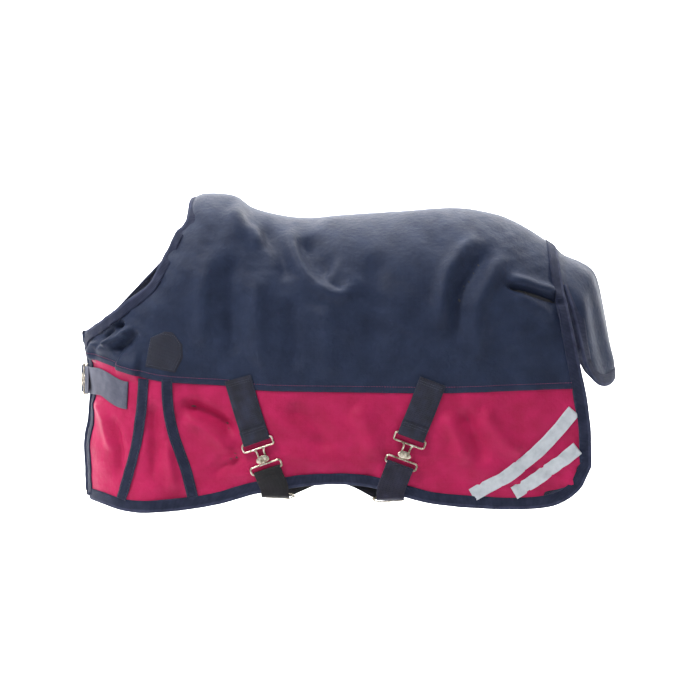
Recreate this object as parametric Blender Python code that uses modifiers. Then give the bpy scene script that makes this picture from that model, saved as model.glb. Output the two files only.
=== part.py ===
"""Turnout rug for a small pony, in its worn shape, as separate named pieces.

Frame: metres, +Z up. The pony faces -X and its near (left) side is -Y.
The origin is the middle of the back, where the rug rests on the pony.
"""
import math

import bmesh
import bpy
from mathutils import Matrix, Vector
from mathutils.bvhtree import BVHTree

NAME = "turnout_rug"
MERGE = 0.00001            # merge distance for seams and caps

# ---- shape of the fitted rug ---------------------------------------------------------
BARREL_HALF = 0.188        # half width at the barrel
SHOULDER_HALF = 0.163      # half width at the shoulder
HIP_HALF = 0.184           # half width at the hips
REAR_HALF = 0.135          # half width at the rear edge
DOME = 0.185               # drop from the spine to where the side hangs straight
TUCK = 0.10                # share of the width lost over TUCK_DROP
TUCK_DROP = 0.30
CHEST_START = -0.300       # where the chest begins to close
CHEST_ARC = 0.165          # length of cloth per radian of the closing chest
CHEST_END = math.radians(76)   # how far round the chest the front edges come
FAR_CHEST_AHEAD = 0.009    # the far chest flap reaches this far past the near one
NECK_BACK = -0.277         # here the neckline turns up to cross the withers
FRONT_T = CHEST_START - CHEST_ARC * CHEST_END

# ---- cloth and webbing ---------------------------------------------------------------
SHELL_T = 0.0014           # outer cloth with its filling
LINING_T = 0.0010
LINING_GAP = 0.0009        # between the outer cloth and the lining
SEAM_GAP = 0.0006          # between panels that meet at a seam
BINDING_W = 0.019
BINDING_T = 0.0012
BINDING_GAP = 0.0009
NECK_ROOM = 0.0034         # the same where the neckline turns over the withers
CURVED_ROOM = 0.0019       # between the cloth and a binding that follows a tight curve
LAY_GAP = 0.0007           # between a sewn-on piece and what it lies on
TAPE_W = 0.020
TAPE_T = 0.0012
TAPE_START = 0.024         # a gusset tape starts this far below the shoulder patch
STRIPE_W = 0.025
STRIPE_T = 0.0008
WEB_W = 0.050
WEB_T = 0.0018
PATCH_T = 0.0016

# ---- metal fittings ------------------------------------------------------------------
WIRE_R = 0.0018            # radius of the round bar
PIVOT_GAP = 0.0005         # between a bar and the webbing folded round it
LOOP_W = WEB_W + 0.008     # between the middles of a loop's side bars
PLATE_LOOP = 0.015         # depth of the plate's webbing loop
PLATE_SLOT_END = 0.040     # from the webbing bar to the end bar of the slot
PLATE_SLOT_W = 0.013       # between the middles of the slot's legs
HOOK_LOOP = 0.013          # depth of the hook's webbing loop
FITTING_SPAN = 0.058       # between the two webbing bars of a closed fastener
HEAD_RISE = 0.0048         # middle of the hook's head above the plate's plane
HEAD_L = 0.025
HEAD_W = 0.013
HEAD_T = 0.0030
CHEST_BAR_ROOM = 0.0016    # lifts the chest bars clear of the tabs where they rise
PEG_R = 0.0018
PEG_AT = 0.034             # the peg's distance from the plate's webbing bar
PEG_TIP = -0.0012          # how deep the peg reaches through the slot
FOLD_BACK = 0.023          # webbing folded back over a bar
HIDDEN_LEAF = 0.011        # the same behind a strap, above the hem binding
LEAF_GAP = 0.0003          # between the folded leaf and the strap under it
SLIDE_L = 0.020            # length of a strap adjuster
SLIDE_BAR_R = 0.0015
SLIDE_PLACE = 0.008        # from the start of the straight run under the belly

# ---- side outlines -------------------------------------------------------------------
# (x, z)
SPINE = [(-0.270, 0.031), (-0.252, 0.040), (-0.212, 0.040), (-0.187, 0.034),
         (-0.162, 0.016), (-0.113, 0.002), (-0.060, -0.004), (0.000, 0.001),
         (0.108, 0.008), (0.216, 0.014), (0.288, 0.002), (0.324, -0.013),
         (0.360, -0.034), (0.396, -0.059)]
CROWN_FRONT = [(-0.530, -0.098), (-0.466, -0.085), (-0.427, -0.070), (-0.380, -0.055),
               (-0.344, -0.040), (-0.320, -0.015), (-0.297, 0.010), (-0.280, 0.025)]
NECKLINE = [(-0.466, -0.216), (-0.427, -0.187), (-0.380, -0.152), (-0.344, -0.121),
            (-0.320, -0.081), (-0.297, -0.034), (-0.277, -0.007), (-0.270, 0.031)]
HEM = [(-0.466, -0.513), (-0.432, -0.520), (-0.387, -0.531), (-0.340, -0.532),
       (-0.270, -0.526), (-0.211, -0.514), (-0.153, -0.497), (-0.072, -0.485),
       (0.000, -0.481), (0.054, -0.486), (0.099, -0.497), (0.162, -0.514),
       (0.252, -0.523), (0.306, -0.526), (0.360, -0.524), (0.389, -0.519),
       (0.415, -0.507), (0.436, -0.486), (0.452, -0.452)]
SEAM = [(-0.470, -0.252), (-0.430, -0.265), (-0.351, -0.291), (-0.302, -0.299),
        (-0.207, -0.304), (-0.144, -0.312), (0.018, -0.315), (0.180, -0.317),
        (0.324, -0.313), (0.460, -0.310)]
SHOULDER_PATCH = [((-0.351, -0.270), (-0.297, -0.281)), ((-0.346, -0.243), (-0.283, -0.254)),
                  ((-0.341, -0.218), (-0.284, -0.230)), ((-0.316, -0.2065), (-0.302, -0.2075))]
STRIPE_UPPER = [(0.262, -0.487), (0.308, -0.463), (0.358, -0.422), (0.388, -0.392),
                (0.411, -0.367)]
STRIPE_LOWER = [(0.337, -0.486), (0.356, -0.473), (0.378, -0.457), (0.402, -0.440),
                (0.416, -0.430)]
FLAP_MIDDLE = [(0.3990, -0.0600), (0.414, -0.074), (0.441, -0.087), (0.463, -0.102),
               (0.474, -0.125), (0.482, -0.167), (0.491, -0.225), (0.498, -0.262),
               (0.503, -0.296)]
FRONT_STRAP = [(-0.184, -0.290), (-0.168, -0.345), (-0.150, -0.402)]
REAR_STRAP = [(0.167, -0.295), (0.148, -0.345), (0.128, -0.394)]
FRONT_HOOK_BAR = (-0.130, -0.457)
REAR_HOOK_BAR = (0.107, -0.450)
CHEST_TAB = [(-0.383, -0.323), (-0.412, -0.311), (-0.441, -0.3000)]
# (z, x), for lines that run down the rug
CHEST_LINE = [(-0.530, -0.455), (-0.488, -0.459), (-0.421, -0.461), (-0.370, -0.455),
              (-0.324, -0.450), (-0.277, -0.455), (-0.240, -0.462), (-0.200, -0.464)]
REAR_LINE = [(-0.530, 0.452), (-0.446, 0.452), (-0.383, 0.450), (-0.329, 0.443),
             (-0.275, 0.432), (-0.203, 0.418), (-0.131, 0.403), (-0.059, 0.392),
             (0.000, 0.386)]
GUSSET_FRONT = [(-0.524, -0.399), (-0.479, -0.386), (-0.410, -0.368), (-0.351, -0.359),
                (-0.292, -0.354)]
GUSSET_REAR = [(-0.524, -0.262), (-0.455, -0.279), (-0.410, -0.295), (-0.378, -0.304),
               (-0.351, -0.309), (-0.292, -0.312), (-0.180, -0.298), (-0.007, -0.277),
               (0.031, -0.270)]

CHEST_TOP_ROOM = 1.6       # binding widths kept free for the neck binding's end
FLAP_CORNER = Vector((0.441, 0.136, -0.274))   # lower side corner of the tail flap
FLAP_SIDE_ROOM = 0.005     # from the rear binding to the flap's free side edges
FLAP_DROOP = 0.020         # how far the flap's lower edge dips between its corners
FLAP_GAP = 0.0012          # between the rear binding and the flap's top edge
HEM_ROOM = 0.0055          # webbing's middle outside the cloth where it passes the hem
BELLY_Z = -0.470           # height at which the belly straps cross
CROSS_STEP = 0.008         # one belly strap passes this far under the other
STRAIGHT_END_Y = 0.045     # the straight run under the belly stops this far from the middle
# (inward from the hem, up from it), then the way the webbing's face looks (out, up)
HEM_TURN = [((0.0, 0.0015), (1.0, 0.0)), ((0.0004, -0.0105), (0.8, -0.6)),
            ((0.0080, -0.0150), (0.2, -1.0))]
HEM_TURN_DEEP = 0.036      # where the webbing lies level, inward from the hem
FRONT_DROP = 0.0150        # the front belly strap passes this far below the near hem
REAR_DROP = 0.0165
FRONT_NEAR_X = -0.117      # where the straps pass round the near hem and the far hem
FRONT_FAR_X = 0.094
REAR_NEAR_X = 0.091
REAR_FAR_X = -0.118

# ---- mesh density --------------------------------------------------------------------
CHEST_COLUMNS = 7
GUSSET_COLUMN = 11
LAST_COLUMN = 27
NECK_ROW = 5               # row that the neckline follows ahead of the withers
SEAM_ROW = 12
LAST_ROW = 18
FLAP_SEWN_ROWS = 5         # the tail flap is sewn over this many rows on each side
FLAP_ROWS = 11

FINISHES = {               # linear red, green, blue, then roughness and metallic
    "navy": (0.022, 0.038, 0.090, 0.62, 0.0),
    "pink": (0.43, 0.012, 0.090, 0.66, 0.0),
    "lining": (0.012, 0.013, 0.018, 0.45, 0.0),
    "binding": (0.020, 0.026, 0.060, 0.70, 0.0),
    "webbing": (0.008, 0.009, 0.018, 0.75, 0.0),
    "patch": (0.085, 0.090, 0.140, 0.75, 0.0),
    "silver_tape": (0.55, 0.60, 0.65, 0.35, 0.1),
    "metal": (0.60, 0.54, 0.44, 0.30, 1.0),
}


# ---- helpers ------------------------------------------------------------------------
def curve_at(points, value):
    """Smooth value along a list of (position, value) pairs with rising positions."""
    if value <= points[0][0]:
        return points[0][1]
    if value >= points[-1][0]:
        return points[-1][1]
    index = 0
    while points[index + 1][0] < value:
        index += 1

    def slope(i):
        lo = max(i - 1, 0)
        hi = min(i + 1, len(points) - 1)
        return (points[hi][1] - points[lo][1]) / (points[hi][0] - points[lo][0])

    x0, y0 = points[index]
    x1, y1 = points[index + 1]
    span = x1 - x0
    s = (value - x0) / span
    return ((2 * s ** 3 - 3 * s ** 2 + 1) * y0 + (s ** 3 - 2 * s ** 2 + s) * span * slope(index)
            + (3 * s ** 2 - 2 * s ** 3) * y1 + (s ** 3 - s ** 2) * span * slope(index + 1))


def spline_at(points, place):
    """Point on a smooth curve through the given points, counted from the first."""
    return Vector([curve_at([(k, p[axis]) for k, p in enumerate(points)], place)
                   for axis in range(len(points[0]))])


def spline(points, count):
    """A number of points spread along that curve."""
    return [spline_at(points, k * (len(points) - 1) / (count - 1)) for k in range(count)]


def mix(a, b, f):
    return a + (b - a) * f


def smooth(lo, hi, value):
    s = min(max((value - lo) / (hi - lo), 0.0), 1.0)
    return s * s * (3 - 2 * s)


# ---- the rug's surface --------------------------------------------------------------
def crown(t):
    """Height of the section's top; ahead of the withers it lies above the neckline."""
    if t < SPINE[0][0]:
        return curve_at(CROWN_FRONT + [SPINE[0]], t)
    return curve_at(SPINE, t)


def half_width(t):
    width = mix(SHOULDER_HALF, BARREL_HALF, smooth(-0.32, -0.05, t))
    width = mix(width, HIP_HALF, smooth(0.05, 0.20, t))
    return mix(width, REAR_HALF, smooth(0.22, 0.47, t))


def chest_depth(z, side):
    reach = -curve_at(CHEST_LINE, z) + (FAR_CHEST_AHEAD if side > 0 else 0.0)
    return (CHEST_START + reach) / math.sin(CHEST_END)


def base_point(t, q):
    """Point of the outer surface: t runs along the rug, q down its girth (far side > 0)."""
    angle = min(abs(q) / DOME, math.pi / 2)
    below = max(abs(q) - DOME * math.pi / 2, 0.0)
    z = crown(t) - DOME * (1 - math.cos(angle)) - below
    width = half_width(t) * math.sin(angle) * (1 - TUCK * (below / TUCK_DROP) ** 2)
    x = t
    if t < CHEST_START:
        turn = (CHEST_START - t) / CHEST_ARC
        x = CHEST_START - chest_depth(z, q) * math.sin(turn)
        width *= math.cos(turn)
    return Vector((x, math.copysign(width, q), z))


def slopes(t, q):
    step = 0.002
    along = (base_point(t + step, q) - base_point(t - step, q)) / (2 * step)
    around = (base_point(t, q + step) - base_point(t, q - step)) / (2 * step)
    return along, around


def normal_at(t, q):
    along, around = slopes(t, q)
    return along.cross(around).normalized()


def surface(t, q, out=0.0):
    """Point at a height above the outer surface."""
    return base_point(t, q) + normal_at(t, q) * out


def q_of(t, z, side):
    drop = crown(t) - z
    if drop < DOME:
        return side * DOME * math.acos(min(max(1 - drop / DOME, -1.0), 1.0))
    return side * (DOME * math.pi / 2 + drop - DOME)


def t_of(x, z, side):
    if x >= CHEST_START:
        return x
    share = (CHEST_START - x) / chest_depth(z, side)
    return CHEST_START - CHEST_ARC * math.asin(min(share, math.sin(CHEST_END)))


def x_of(t, z, side):
    if t >= CHEST_START:
        return t
    return CHEST_START - chest_depth(z, side) * math.sin((CHEST_START - t) / CHEST_ARC)


def at_side(x, z, side, out=0.0):
    """Point over the rug's side, from its place in the side view."""
    t = t_of(x, z, side)
    return surface(t, q_of(t, z, side), out)


def height_on(line, t, side):
    """Height of a side outline at t, settled because x depends on the height."""
    z = line[len(line) // 2][1]
    for _ in range(10):
        z = curve_at(line, x_of(t, z, side))
    return z


def column_t(column, z, side):
    """Place along the rug of a column line at a height."""
    front = t_of(curve_at(GUSSET_FRONT, z), z, side)
    back = t_of(curve_at(GUSSET_REAR, z), z, side)
    if column <= CHEST_COLUMNS:
        return mix(FRONT_T, front, column / CHEST_COLUMNS)
    if column <= GUSSET_COLUMN:
        return mix(front, back, (column - CHEST_COLUMNS) / (GUSSET_COLUMN - CHEST_COLUMNS))
    share = (column - GUSSET_COLUMN) / (LAST_COLUMN - GUSSET_COLUMN)
    return mix(back, curve_at(REAR_LINE, z), share)


def lattice(side):
    """(t, q) of each crossing: columns run down the rug, rows along it."""
    crossings = {}
    for column in range(LAST_COLUMN + 1):
        for row in range(NECK_ROW if column < GUSSET_COLUMN else 0, LAST_ROW + 1):
            z = mix(SPINE[0][1], HEM[0][1], row / LAST_ROW)
            for _ in range(40):
                t = column_t(column, z, side)
                seam = abs(q_of(t, height_on(SEAM, t, side), side))
                hem = abs(q_of(t, height_on(HEM, t, side), side))
                neck = abs(q_of(t, height_on(NECKLINE, max(min(t, NECK_BACK), FRONT_T), side),
                                side))
                if column > GUSSET_COLUMN:
                    behind = (column - GUSSET_COLUMN) / 8
                    corner = q_of(NECK_BACK, curve_at(NECKLINE, NECK_BACK), 1)
                    neck = mix(corner, seam * NECK_ROW / SEAM_ROW, smooth(0, 1, behind))
                if row <= NECK_ROW:
                    q = mix(0, neck, row / NECK_ROW)
                elif row <= SEAM_ROW:
                    q = mix(neck, seam, (row - NECK_ROW) / (SEAM_ROW - NECK_ROW))
                else:
                    q = mix(seam, hem, (row - SEAM_ROW) / (LAST_ROW - SEAM_ROW))
                z = mix(z, base_point(t, q * side).z, 0.6)
            crossings[column, row] = (t, q * side)
    return crossings


# ---- objects ------------------------------------------------------------------------
def material(kind, node):
    red, green, blue, rough, metal = FINISHES[kind]
    made = bpy.data.materials.new(node + "_finish")
    made.use_nodes = True
    shader = made.node_tree.nodes["Principled BSDF"]
    shader.inputs["Base Color"].default_value = (red, green, blue, 1)
    shader.inputs["Roughness"].default_value = rough
    shader.inputs["Metallic"].default_value = metal
    made.diffuse_color = (red, green, blue, 1)
    return made


def add_part(name, mesh, kind):
    obj = bpy.data.objects.new(name, mesh)
    PARTS.objects.link(obj)
    mesh.materials.append(material(kind, name))
    return obj


def sheet_mesh(grids):
    """Open sheet through grids of points; grids that share an edge are joined there."""
    bm = bmesh.new()
    for rows in grids:
        verts = [[bm.verts.new(p) for p in row] for row in rows]
        for above, below in zip(verts, verts[1:]):
            for i in range(len(above) - 1):
                bm.faces.new((above[i], below[i], below[i + 1], above[i + 1]))
    bmesh.ops.remove_doubles(bm, verts=bm.verts, dist=MERGE)
    mesh = bpy.data.meshes.new("sheet")
    bm.to_mesh(mesh)
    bm.free()
    return mesh


def cloth(name, grids, kind, thickness, away, rise=0.0):
    """Closed cloth solid: a sheet thickened along (1), against (-1) or half to each side
    of its normals. rise is how far its top face lies over the sheet."""
    mesh = sheet_mesh(grids)
    BED.append(([v.co.copy() for v in mesh.vertices], [tuple(p.vertices) for p in mesh.polygons],
                rise))
    obj = add_part(name, mesh, kind)
    solid = obj.modifiers.new("thickness", "SOLIDIFY")
    solid.thickness = thickness
    solid.offset = away
    solid.use_even_offset = True
    return obj


def patch(crossings, side, columns, rows, out=0.0, trim=(0.0, 0.0, 0.0, 0.0)):
    """Grid of points between two columns and two rows, its front, rear, top and bottom
    edges drawn in by the trim, ordered so that its normals face out."""
    grid = []
    for row in range(rows[0], rows[1] + 1):
        line = []
        for column in range(columns[0], columns[1] + 1):
            t, q = crossings[column, row]
            t += trim[0] * (column == columns[0]) - trim[1] * (column == columns[1])
            q += side * (trim[2] * (row == rows[0]) - trim[3] * (row == rows[1]))
            line.append(surface(t, q, out))
        grid.append(line if side < 0 else line[::-1])
    return grid


def inner_place(edge, neighbour, tangent, width):
    """Place a width in from an edge, on the straight line to the next crossing, and
    whether that crossing is far enough in."""
    into = neighbour - edge
    square = (into - tangent * into.dot(tangent)).length
    return edge + into * (width / square), square > width * 0.9


def edge_stations(track, inward, width):
    """For a binding: each edge place with its normal, and the place a width inwards.
    A place of the track is (t, q), or (t, q) with the crossing inwards from it."""
    stations = []
    for k, place in enumerate(track):
        before = base_point(*track[max(k - 1, 0)][:2])
        after = base_point(*track[min(k + 1, len(track) - 1)][:2])
        t, q = place[:2]
        normal = normal_at(t, q)
        if len(place) > 2:
            edge = base_point(t, q)
            inner, enough = inner_place(edge, base_point(*place[2]),
                                        (after - before).normalized(), width)
            if enough:
                stations.append((edge, normal, inner, normal_at(*place[2])))
                continue
        into = normal.cross((after - before).normalized()).normalized() * inward
        along, around = slopes(t, q)
        a, b, c = along.dot(along), along.dot(around), around.dot(around)
        u, v = into.dot(along) * width, into.dot(around) * width
        det = a * c - b * b
        inner = (t + (c * u - b * v) / det, q + (a * v - b * u) / det)
        stations.append((base_point(t, q), normal, base_point(*inner), normal_at(*inner)))
    return stations


def binding(name, stations, stack, room=BINDING_GAP):
    """Tape folded over a cloth edge: outer leaf, fold and inner leaf in one piece."""
    deep = stack + room
    rows = []
    for edge, normal, inner, inner_normal in stations:
        lip = edge + (edge - inner).normalized() * BINDING_GAP
        rows.append([inner + inner_normal * room, lip + normal * room,
                     lip - normal * deep, inner - inner_normal * deep])
    return cloth(name, [rows], "binding", BINDING_T, ribbon_side(rows, stations[0][1]),
                 BINDING_T)


def ribbon_side(rows, out):
    """1 where the sheet's own normals already face the given way, else -1."""
    across = rows[0][1] - rows[0][0]
    along = rows[1][0] - rows[0][0]
    return 1 if along.cross(across).dot(out) > 0 else -1


def bed_tree():
    """Search tree over every cloth face laid so far, and the rise of each face."""
    points = []
    faces = []
    rises = []
    for verts, polygons, rise in BED:
        faces += [tuple(i + len(points) for i in polygon) for polygon in polygons]
        points += verts
        rises += [rise] * len(polygons)
    return BVHTree.FromPolygons(points, faces), rises


def settled(places, width, thickness, outward):
    """Lifts webbing so that nothing under its middle or its edges comes through it.
    outward is 1 where the places' normals face away from the rug, else -1."""
    tree, rises = bed_tree()
    reach = 0.03
    least = thickness / 2 + LAY_GAP
    lifted = []
    for k, (middle, normal) in enumerate(places):
        out = normal * outward
        ahead = places[min(k + 1, len(places) - 1)][0] - places[max(k - 1, 0)][0]
        across = normal.cross(ahead).normalized() * (width / 2)
        short = 0.0
        for near in (max(k - 1, 0), k, min(k + 1, len(places) - 1)):
            for share in (0, 0.5):
                for shift in (-1, -0.5, 0, 0.5, 1):
                    spot = middle.lerp(places[near][0], share) + across * shift
                    _, _, face, distance = tree.ray_cast(spot + out * reach, -out, 2 * reach)
                    if face is not None:
                        short = max(short, least + rises[face] - (distance - reach))
        lifted.append((middle + out * min(short, 0.006), normal))
    return lifted


def ribbon(name, places, kind, width, thickness):
    """Flat webbing: places are (middle, face normal) along its length."""
    rows = []
    for k, (middle, normal) in enumerate(places):
        ahead = places[min(k + 1, len(places) - 1)][0] - places[max(k - 1, 0)][0]
        across = normal.cross(ahead).normalized() * (width / 2)
        rows.append([middle - across, middle + across])
    return cloth(name, [rows], kind, thickness, 0, thickness / 2)


def strip(name, line, side, kind, width, thickness, out, count):
    """Flat tape sewn along a line of the side view."""
    places = []
    for x, z in spline(line, count):
        t = t_of(x, z, side)
        q = q_of(t, z, side)
        places.append((surface(t, q, out + thickness / 2), normal_at(t, q)))
    return ribbon(name, settled(places, width, thickness, 1), kind, width, thickness)


def wire_mesh(points, radius, closed):
    """Bent round bar as a closed mesh."""
    curve = bpy.data.curves.new("wire", "CURVE")
    curve.dimensions = "3D"
    curve.bevel_depth = radius
    curve.bevel_resolution = 1
    curve.use_fill_caps = True
    line = curve.splines.new("POLY")
    line.points.add(len(points) - 1)
    for point, place in zip(line.points, points):
        point.co = (*place, 1)
    line.use_cyclic_u = closed
    obj = bpy.data.objects.new("wire", curve)
    CUTTERS.objects.link(obj)
    bpy.context.view_layer.update()
    ready = obj.evaluated_get(bpy.context.evaluated_depsgraph_get())
    mesh = bpy.data.meshes.new_from_object(ready)
    bpy.data.objects.remove(obj)
    bpy.data.curves.remove(curve)
    bm = bmesh.new()
    bm.from_mesh(mesh)
    bmesh.ops.remove_doubles(bm, verts=bm.verts, dist=MERGE)
    bmesh.ops.recalc_face_normals(bm, faces=bm.faces)
    bm.to_mesh(mesh)
    bm.free()
    return mesh


def loop_points(width, near, far, corner):
    """Rounded rectangle in the fitting's plane: across it, and between two distances."""
    half = width / 2
    points = []
    for sx, sy, start in ((1, 1, 0), (-1, 1, 90), (-1, -1, 180), (1, -1, 270)):
        centre_x = sx * (half - corner)
        centre_y = (far - corner) if sy > 0 else (near + corner)
        for k in range(3):
            a = math.radians(start + 45 * k)
            points.append((centre_x + corner * math.cos(a), centre_y + corner * math.sin(a), 0))
    return points


def union(name, meshes, kind, matrix):
    """One metal piece joined from overlapping closed meshes in the fitting's own axes."""
    base = add_part(name, meshes[0], kind)
    for number, mesh in enumerate(meshes[1:]):
        tool = bpy.data.objects.new(f"{name}_piece_{number}", mesh)
        CUTTERS.objects.link(tool)
        tool.hide_render = True
        tool.display_type = "WIRE"
        tool.matrix_world = matrix
        cut = base.modifiers.new(f"join_{number}", "BOOLEAN")
        cut.operation = "UNION"
        cut.solver = "EXACT"
        cut.object = tool
    base.matrix_world = matrix
    return base


def primitive_mesh(make, matrix, **sizes):
    bm = bmesh.new()
    make(bm, matrix=matrix, **sizes)
    mesh = bpy.data.meshes.new("primitive")
    bm.to_mesh(mesh)
    bm.free()
    return mesh


def frame_matrix(origin, across, down, out):
    matrix = Matrix((across, down, out)).transposed().to_4x4()
    matrix.translation = origin
    return matrix


# ---- metal fittings: x across, y from the plate's bar to the hook's bar, z out --------
def plate(name, matrix):
    """Plate side of a fastener: webbing loop, and a slot between two legs."""
    half = PLATE_SLOT_W / 2
    ring = wire_mesh(loop_points(LOOP_W, 0, PLATE_LOOP, 0.004), WIRE_R, True)
    legs = [(half + 0.002, PLATE_LOOP, 0), (half, PLATE_LOOP + 0.006, 0),
            (half, PLATE_SLOT_END - 0.004, 0), (half - 0.004, PLATE_SLOT_END, 0),
            (-half + 0.004, PLATE_SLOT_END, 0), (-half, PLATE_SLOT_END - 0.004, 0),
            (-half, PLATE_LOOP + 0.006, 0), (-half - 0.002, PLATE_LOOP, 0)]
    return union(name, [ring, wire_mesh(legs, WIRE_R, False)], "metal", matrix)


def hook(name, matrix):
    """Hook side: webbing loop, rising stem, oval head and the peg under it."""
    near = FITTING_SPAN - HOOK_LOOP
    ring = wire_mesh(loop_points(LOOP_W, near, FITTING_SPAN, 0.004), WIRE_R, True)
    rise = HEAD_RISE - HEAD_T / 2
    stem = wire_mesh([(0, near + 0.0005, 0.0002), (0, near - 0.0015, rise * 0.55),
                      (0, near - 0.005, HEAD_RISE), (0, PEG_AT + 0.001, HEAD_RISE)],
                     WIRE_R * 0.94, False)
    head = primitive_mesh(
        bmesh.ops.create_uvsphere,
        Matrix.Translation((0, PEG_AT + 0.002, HEAD_RISE + 0.0003))
        @ Matrix.Diagonal((HEAD_L / 2, HEAD_W / 2, HEAD_T / 2, 1)),
        u_segments=16, v_segments=8, radius=1)
    peg_l = HEAD_RISE - PEG_TIP
    peg = primitive_mesh(bmesh.ops.create_cone,
                         Matrix.Translation((0, PEG_AT, PEG_TIP + peg_l / 2)),
                         cap_ends=True, segments=10, radius1=PEG_R * 0.8, radius2=PEG_R,
                         depth=peg_l)
    return union(name, [ring, stem, head, peg], "metal", matrix)


def slide(name, matrix):
    """Strap adjuster: rails past the strap's edges, end bars under it, middle bar over it."""
    lift = WEB_T / 2 + PIVOT_GAP + SLIDE_BAR_R
    half = LOOP_W / 2 - 0.0005
    ring = wire_mesh([(x, y, -lift) for x, y, _ in loop_points(2 * half, -SLIDE_L / 2,
                                                                SLIDE_L / 2, 0.003)],
                     SLIDE_BAR_R, True)
    arch = wire_mesh([(half, 0, -lift), (half, 0, lift - 0.001), (half - 0.001, 0, lift),
                      (-half + 0.001, 0, lift), (-half, 0, lift - 0.001), (-half, 0, -lift)],
                     SLIDE_BAR_R * 0.95, False)
    return union(name, [ring, arch], "metal", matrix)


def fold_round(bar, down, out, leaf_out, leaf_sign, length):
    """Webbing folded round a bar. bar is its middle, down points away from the strap,
    out away from the rug; leaf_sign 1 folds the leaf to the outside."""
    turn = WIRE_R + PIVOT_GAP + WEB_T / 2
    places = []
    for k in range(7):
        a = math.pi * k / 6
        normal = out * (-leaf_sign * math.cos(a)) + down * math.sin(a)
        places.append((bar + normal * turn, normal))
    for share in (0.35, 0.6, 1.0):
        away = mix(turn, leaf_out, smooth(0.0, 0.6, share))
        places.append((bar - down * (length * share) + out * (leaf_sign * away),
                       out * leaf_sign))
    return places


# ---- cloth panels -------------------------------------------------------------------
def outer_cloth(near, far):
    """The back in one piece over both sides, without the far chest flap, and the panels
    sewn under it."""
    half = SEAM_GAP / 2
    back = (GUSSET_COLUMN, LAST_COLUMN)
    low = (NECK_ROW, SEAM_ROW)
    trim = (0, 0, 0, half)
    cloth("outer_shell",
          [patch(near, -1, (0, GUSSET_COLUMN), low, 0, trim),
           patch(near, -1, back, (0, SEAM_ROW), 0, trim),
           patch(far, 1, (CHEST_COLUMNS, GUSSET_COLUMN), low, 0, (half, 0, 0, half)),
           patch(far, 1, back, (0, SEAM_ROW), 0, trim)],
          "navy", SHELL_T, -1)
    cloth("right_chest_shell",
          [patch(far, 1, (0, CHEST_COLUMNS), low, 0, (0, half, 0, half))],
          "navy", SHELL_T, -1)
    panels = (("chest_panel", (0, CHEST_COLUMNS), (0, half, half, 0)),
              ("shoulder_gusset", (CHEST_COLUMNS, GUSSET_COLUMN), (half, half, half, 0)),
              ("side_panel", (GUSSET_COLUMN, LAST_COLUMN), (half, 0, half, 0)))
    for panel, columns, trim in panels:
        for crossings, side, word in ((near, -1, "left"), (far, 1, "right")):
            cloth(f"{word}_{panel}",
                  [patch(crossings, side, columns, (SEAM_ROW, LAST_ROW), 0, trim)],
                  "pink", SHELL_T, -1)


def linings(near, far):
    half = SEAM_GAP / 2
    inside = -(SHELL_T + LINING_GAP)
    back = (GUSSET_COLUMN, LAST_COLUMN)
    rows = (NECK_ROW, LAST_ROW)
    cloth("lining",
          [patch(near, -1, (0, GUSSET_COLUMN), rows, inside),
           patch(near, -1, back, (0, LAST_ROW), inside),
           patch(far, 1, (CHEST_COLUMNS, GUSSET_COLUMN), rows, inside, (half, 0, 0, 0)),
           patch(far, 1, back, (0, LAST_ROW), inside)],
          "lining", LINING_T, -1)
    cloth("right_chest_lining",
          [patch(far, 1, (0, CHEST_COLUMNS), rows, inside, (0, half, 0, 0))],
          "lining", LINING_T, -1)


def beside(crossings, place, inner):
    return (*crossings[place], crossings[inner])


def shifted(place, dt):
    """The same place of a track, moved along the rug."""
    t, q, (inner_t, inner_q) = place
    return (t + dt, q, (inner_t + dt, inner_q))


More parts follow.
